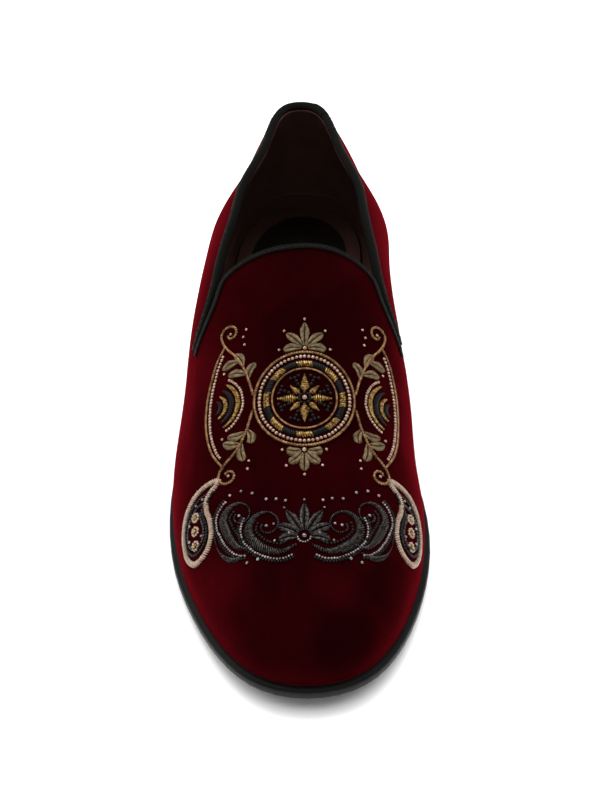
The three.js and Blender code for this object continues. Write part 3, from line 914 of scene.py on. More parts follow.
@dataclass
class VampChart:
    """Measures on the vamp: u from its ridge to the big-toe side, v from the tongue's edge on."""

    skin: Skin
    ridge: float = 3.0 * MM
    start: float = 17.0 * MM
    end: float = -146.0 * MM
    above: float = 0.2
    sounding: float = 0.25 * MM
    step: float = 1.5 * MM
    columns: int = 42
    last_cell: float = 1.001

    def __post_init__(self) -> None:
        """March over the vamp and keep a grid of places and directions."""
        self.surface = BVHTree.FromPolygons(self.skin.points.tolist(), self.skin.faces.tolist())
        spine = self._spine()
        forward = unit(np.gradient(spine, axis=0))
        halves = {side: self._sections(spine, forward, side) for side in (-1, 1)}
        self.places = np.concatenate([halves[-1][:, :0:-1], halves[1]], axis=1)
        along = np.gradient(self.places, axis=0)
        across = np.gradient(self.places, axis=1)
        self.directions = unit(np.cross(along, across))

    def _spine(self) -> Array:
        """The ridge's points at even steps from the tongue to the toe."""
        found = []
        for y in np.arange(self.start, self.end, -self.sounding):
            hit = self.surface.ray_cast(Vector((self.ridge, y, self.above)), Vector((0, 0, -1)))[0]
            if hit is not None:
                found.append(hit)
        line = np.array(found)
        running = run_length(line)
        return at_lengths(line, running, np.arange(0.0, running[-1], self.step))

    def _sections(self, spine: Array, forward: Array, side: int) -> Array:
        """March from the ridge down one flank.

        Args:
            spine: the ridge's points.
            forward: the ridge's directions.
            side: 1 for the big-toe side and -1 for the other.

        Returns:
            Places by step along and step across.
        """
        rows = [spine]
        for _ in range(self.columns):
            row = []
            for place, ahead in zip(rows[-1], forward):
                up = self.surface.find_nearest(place)[1]
                sideways = up.cross(Vector(ahead)).normalized() * side
                row.append(self.surface.find_nearest(Vector(place) + sideways * self.step)[0])
            rows.append(np.array(row))
        return np.stack(rows, axis=1)

    def at(self, chart: Array, lift: float | Array = 0.0) -> tuple[Array, Array]:
        """Find places on the vamp.

        Args:
            chart: rows of u and v in millimetres.
            lift: how far over the velvet they lie, in metres.

        Returns:
            The places and the outward directions there.
        """
        steps = np.asarray(chart, float) * MM / self.step
        rows, columns = self.places.shape[:2]
        column = np.clip(steps[:, 0] + self.columns, 0, columns - self.last_cell)
        row = np.clip(steps[:, 1], 0, rows - self.last_cell)
        i, j = row.astype(int), column.astype(int)
        s, t = (row - i)[:, None], (column - j)[:, None]
        found = []
        for grid in (self.places, self.directions):
            near = grid[i, j] * (1 - t) + grid[i, j + 1] * t
            far = grid[i + 1, j] * (1 - t) + grid[i + 1, j + 1] * t
            found.append(near * (1 - s) + far * s)
        up = unit(found[1])
        return found[0] + up * np.reshape(lift, (-1, 1)), up


@dataclass(frozen=True)
class Thread:
    """A thread, purl or bead of the embroidery."""

    name: str
    dark: Colour
    light: Colour
    metal: float
    roughness: float
    coat: float = 0.0
    gloss: float = 0.5
    change: float = 1.6 * MM
    coat_roughness: float = 0.12
    fibre: float = 0.25 * MM
    fibre_depth: float = 0.05 * MM

    def material(self) -> bpy.types.Material:
        """Make the thread."""
        recipe = Recipe(self.name)
        change = recipe.noise(self.change)
        fibre = recipe.noise(self.fibre)
        return recipe.finish(
            Base_Color=recipe.blend(change.ramp(*PATCHES), self.dark, self.light),
            Metallic=self.metal,
            Roughness=fibre * ROUGHNESS_SPREAD + (self.roughness - ROUGHNESS_SPREAD / 2),
            Coat_Weight=self.coat,
            Coat_Roughness=self.coat_roughness,
            Specular_IOR_Level=self.gloss,
            Normal=recipe.bump(fibre, self.fibre_depth),
        )


class Yarn(Enum):
    """The threads and beads of the embroidery."""

    GOLD = Thread("gold_purl", (0.10, 0.05, 0.010), (0.62, 0.39, 0.13), 0.85, 0.27, change=0.9 * MM)
    COPPER = Thread("rose_gold_cord", (0.17, 0.075, 0.03), (0.50, 0.27, 0.12), 0.7, 0.36)
    KHAKI = Thread("khaki_gold_thread", (0.13, 0.085, 0.038), (0.30, 0.215, 0.11), 0.35, 0.5)
    ROSE = Thread("rose_gold_bead", (0.36, 0.19, 0.12), (0.66, 0.45, 0.34), 0.55, 0.26, 0.4)
    JET = Thread(
        "jet_purl", (0.0012, 0.0011, 0.0010), (0.0058, 0.0053, 0.0050), 0.0, 0.32, 0.04, 0.22
    )
    GUNMETAL = Thread(
        "gunmetal_purl", (0.011, 0.0098, 0.0094), (0.088, 0.079, 0.075), 0.85, 0.25, change=0.9 * MM
    )
    SILVER = Thread("grey_silver_bead", (0.12, 0.11, 0.105), (0.46, 0.43, 0.40), 0.6, 0.25, 0.4)
    IVORY = Thread("ivory_silk", (0.40, 0.27, 0.185), (0.64, 0.49, 0.38), 0.0, 0.42, change=1 * MM)
    BLACK = Thread(
        "black_sewing_thread",
        (0.0030, 0.0028, 0.0026),
        (0.0085, 0.0080, 0.0074),
        metal=0.0,
        roughness=0.5,
        gloss=0.3,
    )


class Growth(NodeWriter):
    """A Geometry Nodes tree in the making."""

    def __init__(self, name: str, sizes: dict[str, float], material: bpy.types.Material) -> None:
        """Start a tree.

        Args:
            name: its name.
            sizes: its named inputs and their values.
            material: what its outcome is made of.
        """
        self.tree = bpy.data.node_groups.new(name, "GeometryNodeTree")
        self.sizes = sizes
        self.material = material
        new_socket = self.tree.interface.new_socket
        for way in ("INPUT", "OUTPUT"):
            new_socket("Shape", in_out=way, socket_type="NodeSocketGeometry")
        self.keys = {
            key: new_socket(key, in_out="INPUT", socket_type="NodeSocketFloat").identifier
            for key in sizes
        }
        self.source = self.tree.nodes.new("NodeGroupInput")
        self.shape = self.source.outputs["Shape"]

    def size(self, key: str) -> Signal:
        """One of the named inputs."""
        return Signal(self, self.source.outputs[key])

    def close(self, shape: bpy.types.NodeSocket) -> "Growth":
        """End the tree in real geometry that carries its material."""
        smooth = self.node("GeometryNodeSetShadeSmooth", {}, {"Geometry": shape}).outputs[0]
        real = self.node("GeometryNodeRealizeInstances", {}, {"Geometry": smooth}).outputs[0]
        finish = {"Geometry": real, "Material": self.material}
        dressed = self.node("GeometryNodeSetMaterial", {}, finish).outputs[0]
        self.node("NodeGroupOutput", {}, {0: dressed})
        return self

    def grow(self, name: str, data: bpy.types.ID) -> bpy.types.Mesh:
        """Run the tree and keep its plain mesh.

        Args:
            name: the mesh's name.
            data: the points or the curve that it starts from.

        Returns:
            The mesh.
        """
        carrier = bpy.data.objects.new(name, data)
        bpy.context.scene.collection.objects.link(carrier)
        modifier = carrier.modifiers.new(name, "NODES")
        modifier.node_group = self.tree
        for key, value in self.sizes.items():
            modifier[self.keys[key]] = value
        evaluated = carrier.evaluated_get(bpy.context.evaluated_depsgraph_get())
        mesh = bpy.data.meshes.new_from_object(evaluated)
        mesh.name = name
        carrier.modifiers.clear()
        bpy.data.objects.remove(carrier)
        return mesh


CORD_STEP, CORD_WAIST, CORD_LOBE = 0.2, 0.2, 0.56  # in thicknesses of the cord


def twisted_cord(
    material: bpy.types.Material, thickness: float, strands: int = 3, pitch: float = 2.7
) -> Growth:
    """A tree that lays a twisted cord along curves.

    Args:
        material: the cord's material.
        thickness: its diameter in metres.
        strands: how many strands show.
        pitch: the length of one turn in diameters.

    Returns:
        The tree.
    """
    sizes = {"Thickness": thickness, "Turn length": pitch * thickness}
    growth = Growth("twisted_cord", sizes, material)
    even = {"Curve": growth.shape, "Length": growth.size("Thickness") * CORD_STEP}
    line = growth.node("GeometryNodeResampleCurve", {"mode": "LENGTH"}, even).outputs[0]
    along = Signal(growth, growth.node("GeometryNodeSplineParameter").outputs["Length"])
    tilt = along * (2 * math.pi) / growth.size("Turn length")
    twisted = growth.node("GeometryNodeSetCurveTilt", {}, {"Curve": line, "Tilt": tilt}).outputs[0]
    lobes = {
        "Points": strands,
        "Inner Radius": growth.size("Thickness") * CORD_WAIST,
        "Outer Radius": growth.size("Thickness") * CORD_LOBE,
    }
    profile = growth.node("GeometryNodeCurveStar", {}, lobes).outputs[0]
    swept = {"Curve": twisted, "Profile Curve": profile, "Fill Caps": True}
    return growth.close(growth.node("GeometryNodeCurveToMesh", {}, swept).outputs[0])


class Grain(Enum):
    """What is sewn on at each place."""

    BEAD = "bead"
    STITCH = "stitch"


TURN, SIZE = "turn", "size"
STITCH_ARCH, STITCH_NARROWING = 0.28, 0.75


def sown(
    material: bpy.types.Material, grain: Grain, uneven: float = 0.05, seed: int = 11
) -> Growth:
    """A tree that sews a bead or a stitch at every point.

    Args:
        material: what it is made of.
        grain: a bead or a stitch.
        uneven: how much the sizes differ.
        seed: the seed of that.

    Returns:
        The tree.
    """
    growth = Growth(grain.value + "_rows", {"Uneven": uneven}, material)
    if grain is Grain.BEAD:
        ball = {"Radius": 0.5, "Subdivisions": 2}
        unit_shape = growth.node("GeometryNodeMeshIcoSphere", {}, ball).outputs[0]
    else:
        tube = {"Vertices": 6, "Side Segments": 4, "Radius": 0.5, "Depth": 1.0}
        straight = growth.node("GeometryNodeMeshCylinder", {}, tube).outputs[0]
        laid = {"Geometry": straight, "Rotation": (0.0, math.pi / 2, 0.0)}
        flat = growth.node("GeometryNodeTransform", {}, laid).outputs[0]
        place = growth.node("GeometryNodeInputPosition").outputs[0]
        split = growth.node("ShaderNodeSeparateXYZ", {}, {0: place})
        x, y, z = (Signal(growth, split.outputs[i]) for i in range(3))
        square = x * x * 4.0  # 0 in the stitch's middle and 1 at its ends
        slim = 1.0 - square * square * STITCH_NARROWING
        arched = z * slim + (1.0 - square) * STITCH_ARCH
        moved = growth.node("ShaderNodeCombineXYZ", {}, {0: x, 1: y * slim, 2: arched}).outputs[0]
        bent = {"Geometry": flat, "Position": moved}
        unit_shape = growth.node("GeometryNodeSetPosition", {}, bent).outputs[0]
    turn, size = (
        growth.node(
            "GeometryNodeInputNamedAttribute", {"data_type": "FLOAT_VECTOR"}, {"Name": key}
        ).outputs[0]
        for key in (TURN, SIZE)
    )
    limits = {2: 1.0 - growth.size("Uneven"), 3: growth.size("Uneven") + 1.0, "Seed": seed}
    chance = growth.node("FunctionNodeRandomValue", {"data_type": "FLOAT"}, limits).outputs[1]
    scaled = {0: size, "Scale": chance}
    scale = growth.node("ShaderNodeVectorMath", {"operation": "SCALE"}, scaled).outputs[0]
    sockets = {"Points": growth.shape, "Instance": unit_shape, "Rotation": turn, "Scale": scale}
    return growth.close(growth.node("GeometryNodeInstanceOnPoints", {}, sockets).outputs[0])


def smooth_path(controls: Iterable, closed: bool = False, steps: int = 14) -> Array:
    """A smooth path through points.

    Args:
        controls: the points.
        closed: whether it comes back to its start.
        steps: points from each to the next.

    Returns:
        The path.
    """
    knots = np.array(list(controls), float)
    if closed:
        before, after = knots[-1:], knots[:2]
    else:
        before, after = knots[:1] * 2 - knots[1:2], knots[-1:] * 2 - knots[-2:-1]
    knots = np.concatenate([before, knots, after])
    t = np.linspace(0, 1, steps, endpoint=False)[:, None]
    pieces = []
    for a, b, c, d in zip(knots, knots[1:], knots[2:], knots[3:]):
        second, third = 2 * a - 5 * b + 4 * c - d, 3 * b - a - 3 * c + d
        pieces.append(0.5 * (2 * b + (c - a) * t + second * t**2 + third * t**3))
    return np.concatenate([*pieces, knots[-2:-1]])


def arc_path(centre: Spot, radius: float, start: float, end: float, tall: float = 1.0) -> Array:
    """An arc in degrees, clockwise from the tongue's side.

    Args:
        centre: its centre.
        radius: its radius.
        start: the first angle.
        end: the last angle.
        tall: how much longer it is along the shoe.

    Returns:
        The path.
    """
    angles = np.radians(np.linspace(start, end, max(8, int(abs(end - start) / 5))))
    across, along = radius * np.sin(angles), radius * tall * np.cos(angles)
    return np.stack([centre[0] + across, centre[1] - along], axis=1)


def polar(centre: Spot, radius: float, angle: float) -> Array:
    """A point at a distance and an angle in degrees, clockwise from the tongue's side."""
    turn = math.radians(angle)
    return np.array([centre[0] + radius * math.sin(turn), centre[1] - radius * math.cos(turn)])


def curled(stem: Iterable, hub: Spot, reach: Spot, sweep: Spot) -> Array:
    """A stem that ends in a curl.

    Args:
        stem: points up to the curl.
        hub: the curl's middle.
        reach: the curl's first and last radius.
        sweep: its first and last angle in degrees, clockwise from the tongue's side.

    Returns:
        The path.
    """
    count = max(4, int(abs(sweep[1] - sweep[0]) / 30))
    turns = zip(np.linspace(*reach, count), np.linspace(*sweep, count))
    return smooth_path([*stem, *(polar(hub, radius, angle) for radius, angle in turns)], steps=6)


def beside(path: Array) -> tuple[Array, Array]:
    """The directions along a path and to its side."""
    ahead = unit(np.gradient(path, axis=0))
    return ahead, np.stack([-ahead[:, 1], ahead[:, 0]], axis=1)


@dataclass
class Needlework:
    """Cords, stitches and beads laid on the chart in millimetres, all made at the end."""

    chart: VampChart
    seed: int = 5
    stitch_foot: float = 0.1
    leaf_pitch: float = 0.42
    cords: dict[tuple[Yarn, float], list[Array]] = field(default_factory=dict)
    grains: dict[tuple[Yarn, Grain], list[tuple[Array, Array]]] = field(default_factory=dict)

    def __post_init__(self) -> None:
        """Fix the chance in the hand's small slips."""
        self.chance = np.random.default_rng(self.seed)

    def sew(
        self, yarn: Yarn, grain: Grain, places: Array, along: Array, up: Array, sizes: Array
    ) -> None:
        """Keep places with a turn and a size each.

        Args:
            yarn: the thread.
            grain: a bead or a stitch.
            places: where they are, in metres.
            along: the directions that they lie in.
            up: the directions off the velvet.
            sizes: length, width and height in metres.
        """
        along = unit(along)
        side = unit(np.cross(up, along))
        frames = np.stack([along, side, np.cross(along, side)], axis=2)
        turns = np.array([Matrix(axes.tolist()).to_euler() for axes in frames], float)
        self.grains.setdefault((yarn, grain), []).append((places, turns, sizes))

    def cord(self, yarn: Yarn, path: Array, thickness: float = 1.1) -> None:
        """Lay a twisted cord.

        Args:
            yarn: its thread.
            path: its path.
            thickness: its diameter.
        """
        line = self.chart.at(evenly(path, 0.6), thickness * 0.42 * MM)[0]
        self.cords.setdefault((yarn, thickness), []).append(line)

    def beads(self, yarn: Yarn, path: Array, size: float = 1.4, pitch: float = 1.12) -> None:
        """Sew a row of beads.

        Args:
            yarn: the beads.
            path: the row's path.
            size: their diameter.
            pitch: the step from each to the next in diameters.
        """
        self.dots(yarn, evenly(path, size * pitch), size)

    def dots(self, yarn: Yarn, spots: Array, size: float = 1.4) -> None:
        """Sew single beads at spots."""
        spots = np.atleast_2d(spots)
        spots = spots + self.chance.normal(0, SLIP, spots.shape)
        places, up = self.chart.at(spots, size * 0.3 * MM)
        ahead = self.chart.at(spots + (0.0, 0.5))[0] - self.chart.at(spots)[0]
        sizes = np.tile([size, size, size * 0.85], (len(spots), 1)) * MM
        self.sew(yarn, Grain.BEAD, places, ahead, up, sizes)

    def stitches(
        self, yarn: Yarn, starts: Array, ends: Array, width: float, height: float
    ) -> None:
        """Sew stitches from point to point, without the few that would be too short.

        Args:
            yarn: their thread.
            starts: where they start.
            ends: where they end.
            width: how wide one is.
            height: how high one is.
        """
        ends = ends + self.chance.normal(0, SLIP, ends.shape)
        reach = self.chart.at(ends)[0] - self.chart.at(starts)[0]
        length = np.linalg.norm(reach, axis=1)
        long = length > SHORTEST_STITCH * MM
        places, up = self.chart.at(((starts + ends) / 2)[long], self.stitch_foot * MM)
        flat = np.tile([width * MM, height * MM], (len(places), 1))
        self.sew(yarn, Grain.STITCH, places, reach[long], up, np.column_stack([length[long], flat]))

    def band(
        self,
        yarn: Yarn,
        path: Array,
        width: float | Callable[[Array], Array],
        pitch: float = 0.9,
        slant: float = 0.35,
        height: float = 0.95,
    ) -> None:
        """Fill a band along a path with stitches across it.

        Args:
            yarn: its thread.
            path: its middle.
            width: its width, or its width by the share of its length.
            pitch: the step from stitch to stitch.
            slant: how far a stitch leans forward for each unit across.
            height: how high it stands.
        """
        middle = evenly(path, pitch)
        share = np.linspace(0, 1, len(middle))
        half = (width(share) if callable(width) else np.full_like(share, width))[:, None] / 2
        ahead, side = beside(middle)
        reach = (side + ahead * slant) * half
        self.stitches(yarn, middle - reach, middle + reach, pitch * 0.96, height)

    def leaf(
        self, yarn: Yarn, base: Array, angle: float, length: float, width: float, bend: float
    ) -> None:
        """Fill a leaf with stitches from its vein to its edges.

        Args:
            yarn: its thread.
            base: its foot.
            angle: the way that it points, in degrees, clockwise from the tongue's side.
            length: its length.
            width: its width.
            bend: how far its tip turns aside, in degrees.
        """
        middle = base + polar(ORIGIN, length * 0.5, angle)
        tip = middle + polar(ORIGIN, length * 0.5, angle + bend)
        vein = evenly(smooth_path([base, middle, tip]), self.leaf_pitch)
        share = np.linspace(0, 1, len(vein))
        half = (width / 2 * np.sin(np.pi * share**0.8) ** 0.95)[:, None]
        ahead, side = beside(vein)
        for flank in (-1, 1):
            reach = side * flank * half + ahead * half * 1.1
            inner = vein + side * flank * 0.12
            start = inner - ahead * half * 0.5
            self.stitches(yarn, start, inner + reach, self.leaf_pitch, 0.7)

    def build(self) -> None:
        """Make every cord, stitch and bead."""
        used = {yarn for yarn, _ in (*self.cords, *self.grains)}
        materials = {yarn: yarn.value.material() for yarn in Yarn if yarn in used}
        for (yarn, thickness), lines in self.cords.items():
            curve = bpy.data.curves.new("cord_paths", "CURVE")
            curve.dimensions = "3D"
            for line in lines:
                spline = curve.splines.new("POLY")
                spline.points.add(len(line) - 1)
                spline.points.foreach_set("co", np.column_stack([line, np.ones(len(line))]).ravel())
            name = f"{yarn.name.lower()}_cord_{round(thickness * 100)}"
            mesh = twisted_cord(materials[yarn], thickness * MM).grow(name, curve)
            add_piece(mesh, materials[yarn])
        for (yarn, grain), rows in self.grains.items():
            places, turns, sizes = (np.concatenate(column) for column in zip(*rows))
            cloud = bpy.data.meshes.new("sewn_points")
            cloud.from_pydata(places.tolist(), [], [])
            for key, values in ((TURN, turns), (SIZE, sizes)):
                layer = cloud.attributes.new(key, "FLOAT_VECTOR", "POINT")
                layer.data.foreach_set("vector", values.astype(np.float32).ravel())
            name = f"{yarn.name.lower()}_{grain.value}_rows"
            add_piece(sown(materials[yarn], grain).grow(name, cloud), materials[yarn])


def both(path: Array) -> list[Array]:
    """A path and its mirror image across the ridge."""
    return [path, path * (-1, 1)]


@dataclass
class StarMedallion:
    """The upper motif: a star in a ring, with leaf sprays at its sides.

    The rays come in turns of length and width. A leaf's row holds its foot's u and v from the
    centre, its angle, its length and its bend, and a shell's its radius, width and thread.
    """

    centre: Spot = (0.0, 68.0)
    ring: float = 19.5
    tall: float = 1.05
    ring_threads: tuple[Yarn, Yarn] = (Yarn.GOLD, Yarn.JET)
    ray_count: int = 8
    rays: tuple[Spot, Spot] = ((11.0, 4.3), (8.2, 3.0))
    hollow: float = 2.9
    leaf_width: float = 3.5
    outer_line: tuple[Spot, ...] = (
        (33.2, -27.5), (37.6, -20.5), (40.3, -10.5), (41.0, 0),
        (39.8, 10.5), (36.6, 19.5), (31.4, 26.5),
    )
    leaves: tuple[tuple[float, ...], ...] = (
        (23.4, -13, 72, 8.5, 20), (24.8, -16.5, 20, 8.0, 25),
        (26.5, -19.5, 95, 8.5, 15), (22.6, -10.5, -8, 8.0, -30),
        (22.4, 13, 108, 8.2, -20), (24.4, 18, 86, 8.0, -15),
        (24.2, 17.5, 178, 8.0, 20), (22.0, 12, 205, 6.5, -25),
    )
    shells: tuple[tuple[float, float, Yarn], ...] = (
        (11.0, 2.3, Yarn.GOLD), (8.3, 2.5, Yarn.JET), (5.6, 2.0, Yarn.GOLD), (3.2, 2.0, Yarn.JET)
    )
    berries: tuple[Spot, ...] = (
        (24.5, -26.5), (25.2, -30.0), (24.0, -33.2), (21.0, 25.5),
        (21.4, 28.8), (33.5, -15.5), (32.5, 14.5),
    )
    crest: tuple[Spot, ...] = ((0, 1.0), (42, 0.86), (-42, 0.86), (84, 0.72), (-84, 0.72))

    def draw(self, work: Needlework) -> None:
        """Draw the whole motif."""
        self._ring(work)
        self._star(work)
        self._sprays(work)
        self._crests(work)

    def _circle(self, radius: float, start: float = 0.0, end: float = 360.0) -> Array:
        """Part of a ring round the centre."""
        return arc_path(self.centre, radius, start, end, self.tall)

    def _ray(self, reaches: Iterable, angle: float) -> Array:
        """Points at some distances from the centre, all at one angle."""
        return np.array([polar(self.centre, reach, angle) for reach in reaches])

    def _ring(self, work: Needlework) -> None:
        """Draw the ring: cord, beads, and gold and jet purl by turns."""
        work.cord(Yarn.COPPER, self._circle(self.ring), 1.2)
        work.beads(Yarn.ROSE, self._circle(self.ring - 1.9)[:-1], 1.45)
        work.cord(Yarn.COPPER, self._circle(self.ring - 7.0), 0.9)
        sector = 360 / self.ray_count / 2
        for number in range(self.ray_count * 2):
            start, end = number * sector - sector / 2, (number + 1) * sector - sector / 2
            yarn = self.ring_threads[number % 2]
            work.band(yarn, self._circle(self.ring - 4.6, start + 1, end - 1), 2.9, slant=0.4)

    def _star(self, work: Needlework) -> None:
        """Draw the rays, the beads between them and the boss in their middle."""
        step = 360 / self.ray_count
        for number in range(self.ray_count):
            length, wide = self.rays[number % 2]
            path = self._ray(np.linspace(self.hollow, length, 12), number * step)
            shape = lambda s, w=wide: w * np.minimum(s / 0.3 + 0.25, (1.02 - s) / 0.72)
            work.band(Yarn.GOLD, path, shape, 0.8, 0.0, 1.05)
            between = (number + 0.5) * step
            work.dots(Yarn.JET, self._ray((6.6, 8.2, 9.8), between), 1.35)
            sides = [polar(self.centre, 10.2, between + lean) for lean in (-9, 9)]
            work.dots(Yarn.JET, np.array(sides), 1.35)
        work.beads(Yarn.JET, self._circle(2.1)[:-1], 1.2)
        work.dots(Yarn.ROSE, np.array([self.centre]), 2.0)

    def _sprays(self, work: Needlework) -> None:
        """Draw the side sprays: stems, leaves, shells and the outer bead line."""
        u, v = self.centre
        stem = ((u + 20, v - 3), (u + 22.8, v - 12), (u + 27, v - 20.5), (u + 33, v - 27))
        rising = curled(stem, (u + 31, v - 32.5), (4.4, 1.3), (100, -250))
        stem = ((u + 20, v + 4), (u + 22.4, v + 13), (u + 26, v + 20.5), (u + 31, v + 26))
        falling = curled(stem, (u + 29, v + 30.5), (4.0, 1.2), (80, 430))
        outer = smooth_path(self.outer_line) + self.centre
        for path in both(rising) + both(falling):
            work.cord(Yarn.COPPER, path, 1.2)
        for path in both(outer):
            work.cord(Yarn.COPPER, path, 1.1)
        for path in both(outer - (1.8, 0.0)):
            work.beads(Yarn.ROSE, path[9:-9], 1.3)
        for du, dv, angle, length, bend in self.leaves:
            for mirror in (1, -1):
                base = np.array([u + du * mirror, v + dv])
                work.leaf(Yarn.KHAKI, base, angle * mirror, length, self.leaf_width, bend * mirror)
        for mirror in (1, -1):
            hub = (u + 37.5 * mirror, v - 0.5)
            sweep = (-150, -30) if mirror > 0 else (30, 150)
            for radius, width, yarn in self.shells:
                crescent = lambda s, w=width: w * np.sin(np.pi * (s * 0.86 + 0.07)) ** 0.6
                work.band(yarn, arc_path(hub, radius, *sweep), crescent, 0.85)
            work.beads(Yarn.ROSE, arc_path(hub, 13.2, *sweep), 1.2)
            work.dots(Yarn.ROSE, [(u + 31 * mirror, v - 32.5), (u + 29 * mirror, v + 30.5)], 1.3)
            work.dots(Yarn.ROSE, np.array(self.berries) * (mirror, 1) + self.centre, 1.15)

    def _crests(self, work: Needlework) -> None:
        """Draw the leaves over and under the ring."""
        for sign, turn, length in ((-1, 0, 10.5), (1, 180, 8.0)):
            base = np.array([self.centre[0], self.centre[1] + sign * (self.ring * self.tall + 1.8)])
            for angle, scale in self.crest:
                foot = base + polar(ORIGIN, 1.1, turn + angle)
                long = length * scale
                work.leaf(Yarn.KHAKI, foot, turn + angle, long, self.leaf_width, angle * 0.25)
                work.dots(Yarn.ROSE, polar(tuple(foot), long + 1.4, turn + angle * 1.1), 1.2)
            work.dots(Yarn.ROSE, base, 1.7)


@dataclass
class ScrollBorder:
    """The lower motif: a palmette, scrolls at its sides and a drop-shaped leaf at each end.

    A leaf of the fan has its angle and length. A bead line has its step aside from the scroll,
    its beads and their size. The drop's places are counted from its own middle.
    """

    line: float = 121.0
    fan: tuple[Spot, ...] = (
        (0, 11.5), (30, 10.5), (-30, 10.5), (60, 9.0), (-60, 9.0), (92, 7.5), (-92, 7.5)
    )
    bead_lines: tuple[tuple[float, Yarn, float], ...] = (
        (2.9, Yarn.SILVER, 0.95), (-2.9, Yarn.JET, 1.1), (3.9, Yarn.JET, 0.95)
    )
    sequins: tuple[Spot, ...] = (
        (5.5, 3.8), (13.6, 0.2), (24.0, -5.0), (16.5, 13.2), (20.4, 14.2), (6.8, -9.6),
        (10.2, -10.4), (14.0, -10.6), (19.2, -13.6), (23.6, -15.0), (28.0, -14.0),
    )
    drop_at: Spot = (42.5, 115.0)
    drop_outline: tuple[Spot, ...] = (
        (-9.5, -15.5), (-3.6, -14.8), (2.6, -11.0), (7.0, -4.6), (8.6, 3.0), (7.0, 10.4),
        (1.6, 14.6), (-4.2, 12.6), (-7.0, 7.0), (-6.4, 0.6), (-4.4, -4.4), (-4.6, -9.6),
    )
    drop_heart: Spot = (0.6, 2.4)
    drop_sequins: tuple[Spot, ...] = (
        (-2.4, -9.4), (0.6, -7.6), (-2.6, 5.2), (4.3, 5.3), (4.2, -0.6)
    )
    rosettes: tuple[Spot, ...] = ((0.8, 8.0), (0.9, 2.4), (0.9, -3.0))
    satin: float = 2.3

    def draw(self, work: Needlework) -> None:
        """Draw the whole border."""
        self._palmette(work)
        self._scrolls(work)
        for mirror in (1, -1):
            self._drop(work, mirror)

    def _palmette(self, work: Needlework) -> None:
        """Draw the fan of leaves in the middle."""
        foot = np.array([0.0, self.line + 5.0])
        for angle, length in self.fan:
            base = foot + polar(ORIGIN, 2.0, angle)
            work.leaf(Yarn.GUNMETAL, base, angle, length, 3.6, angle * 0.2)
            work.dots(Yarn.SILVER, polar(tuple(base), length + 1.2, angle * 1.08), 0.95)
        work.dots(Yarn.SILVER, foot, 1.8)
        work.beads(Yarn.SILVER, arc_path(tuple(foot), 2.4, 100, 260), 0.85)

    def _scrolls(self, work: Needlework) -> None:
        """Draw two scrolls at each side, full in the middle and thin at their ends."""
        stem = ((3.0, 8.5), (8.5, 10.8), (14.5, 9.0))
        first = curled(stem, (13.6, 0.2), (7.2, 1.7), (130, -280))
        stem = ((18.5, 7.8), (22.5, 8.2), (26.5, 4.5))
        second = curled(stem, (24.0, -5.0), (6.6, 1.5), (110, -290))
        tail = smooth_path([(20.5, 10.6), (25.0, 12.0), (29.6, 10.2), (32.4, 6.2), (33.6, 1.6)])
        place = np.array([0.0, self.line])
        for curve, width in ((first, 4.2), (second, 3.8), (tail, 2.4)):
            for path in both(curve + place):
                shape = lambda s, w=width: w * (
                    0.2 + 0.8 * np.sin(np.pi * np.minimum(s * 1.5, 1.0)) ** 1.2
                )
                work.band(Yarn.GUNMETAL, path, shape, 0.85, 0.5, 1.0)
        for curve, reach in ((first, 0.52), (second, 0.55)):
            middle = evenly(curve, 0.5)
            side = beside(middle)[1]
            last = int(len(middle) * reach)
            for offset, yarn, size in self.bead_lines:
                for path in both((middle + side * offset)[6:last] + place):
                    work.beads(yarn, path, size, 1.15)
        for spot in self.sequins:
            work.dots(Yarn.SILVER, np.array(both(np.array([spot]) + place)).reshape(-1, 2), 1.2)

    def _drop(self, work: Needlework, mirror: int) -> None:
        """Draw one drop-shaped leaf with a silk border and a beaded field.

        Args:
            work: what it is sewn in.
            mirror: 1 for the big-toe side and -1 for the other.
        """
        flip = (mirror, 1)
        outline = np.array(self.drop_outline)
        centre = np.array(self.drop_at) * flip
        shape = smooth_path(outline * flip, closed=True) + centre
        work.band(Yarn.IVORY, shape, self.satin, 0.82, 0.3, 1.15)
        for share, yarn in ((0.74, Yarn.JET), (0.56, Yarn.GUNMETAL)):
            ring = ((outline - self.drop_heart) * share + self.drop_heart) * flip
            work.beads(yarn, smooth_path(ring, closed=True) + centre, 1.15, 1.05)
        for at in self.rosettes:
            hub = (centre[0] + at[0] * mirror, centre[1] + at[1])
            work.beads(Yarn.IVORY, arc_path(hub, 1.55, 0, 360)[:-1], 1.05, 1.05)
            work.dots(Yarn.GOLD, np.array([hub]), 1.5)
        work.dots(Yarn.SILVER, np.array(self.drop_sequins) * flip + centre, 1.1)


LINING = Leather(
    "lining_leather", (0.104, 0.051, 0.040), (0.132, 0.066, 0.052), 0.6, 0.15, step_at=31 * MM
)
PIPING = Leather("piping_leather", (0.16, 0.052, 0.055), (0.25, 0.088, 0.09), 0.55, 0.2)
PAD_LEATHER = Leather(
    "pad_leather_black", (0.0045, 0.0028, 0.0015), (0.0095, 0.0062, 0.0036), 0.5, 0.25
)
SOLE_LEATHER = Leather(
    "sole_edge_leather",
    (0.0035, 0.0034, 0.0031),
    (0.0070, 0.0069, 0.0063),
    roughness=0.45,
    gloss=0.1,
    coat=0.03,
    grain=0.5 * MM,
    depth=0.02 * MM,
)


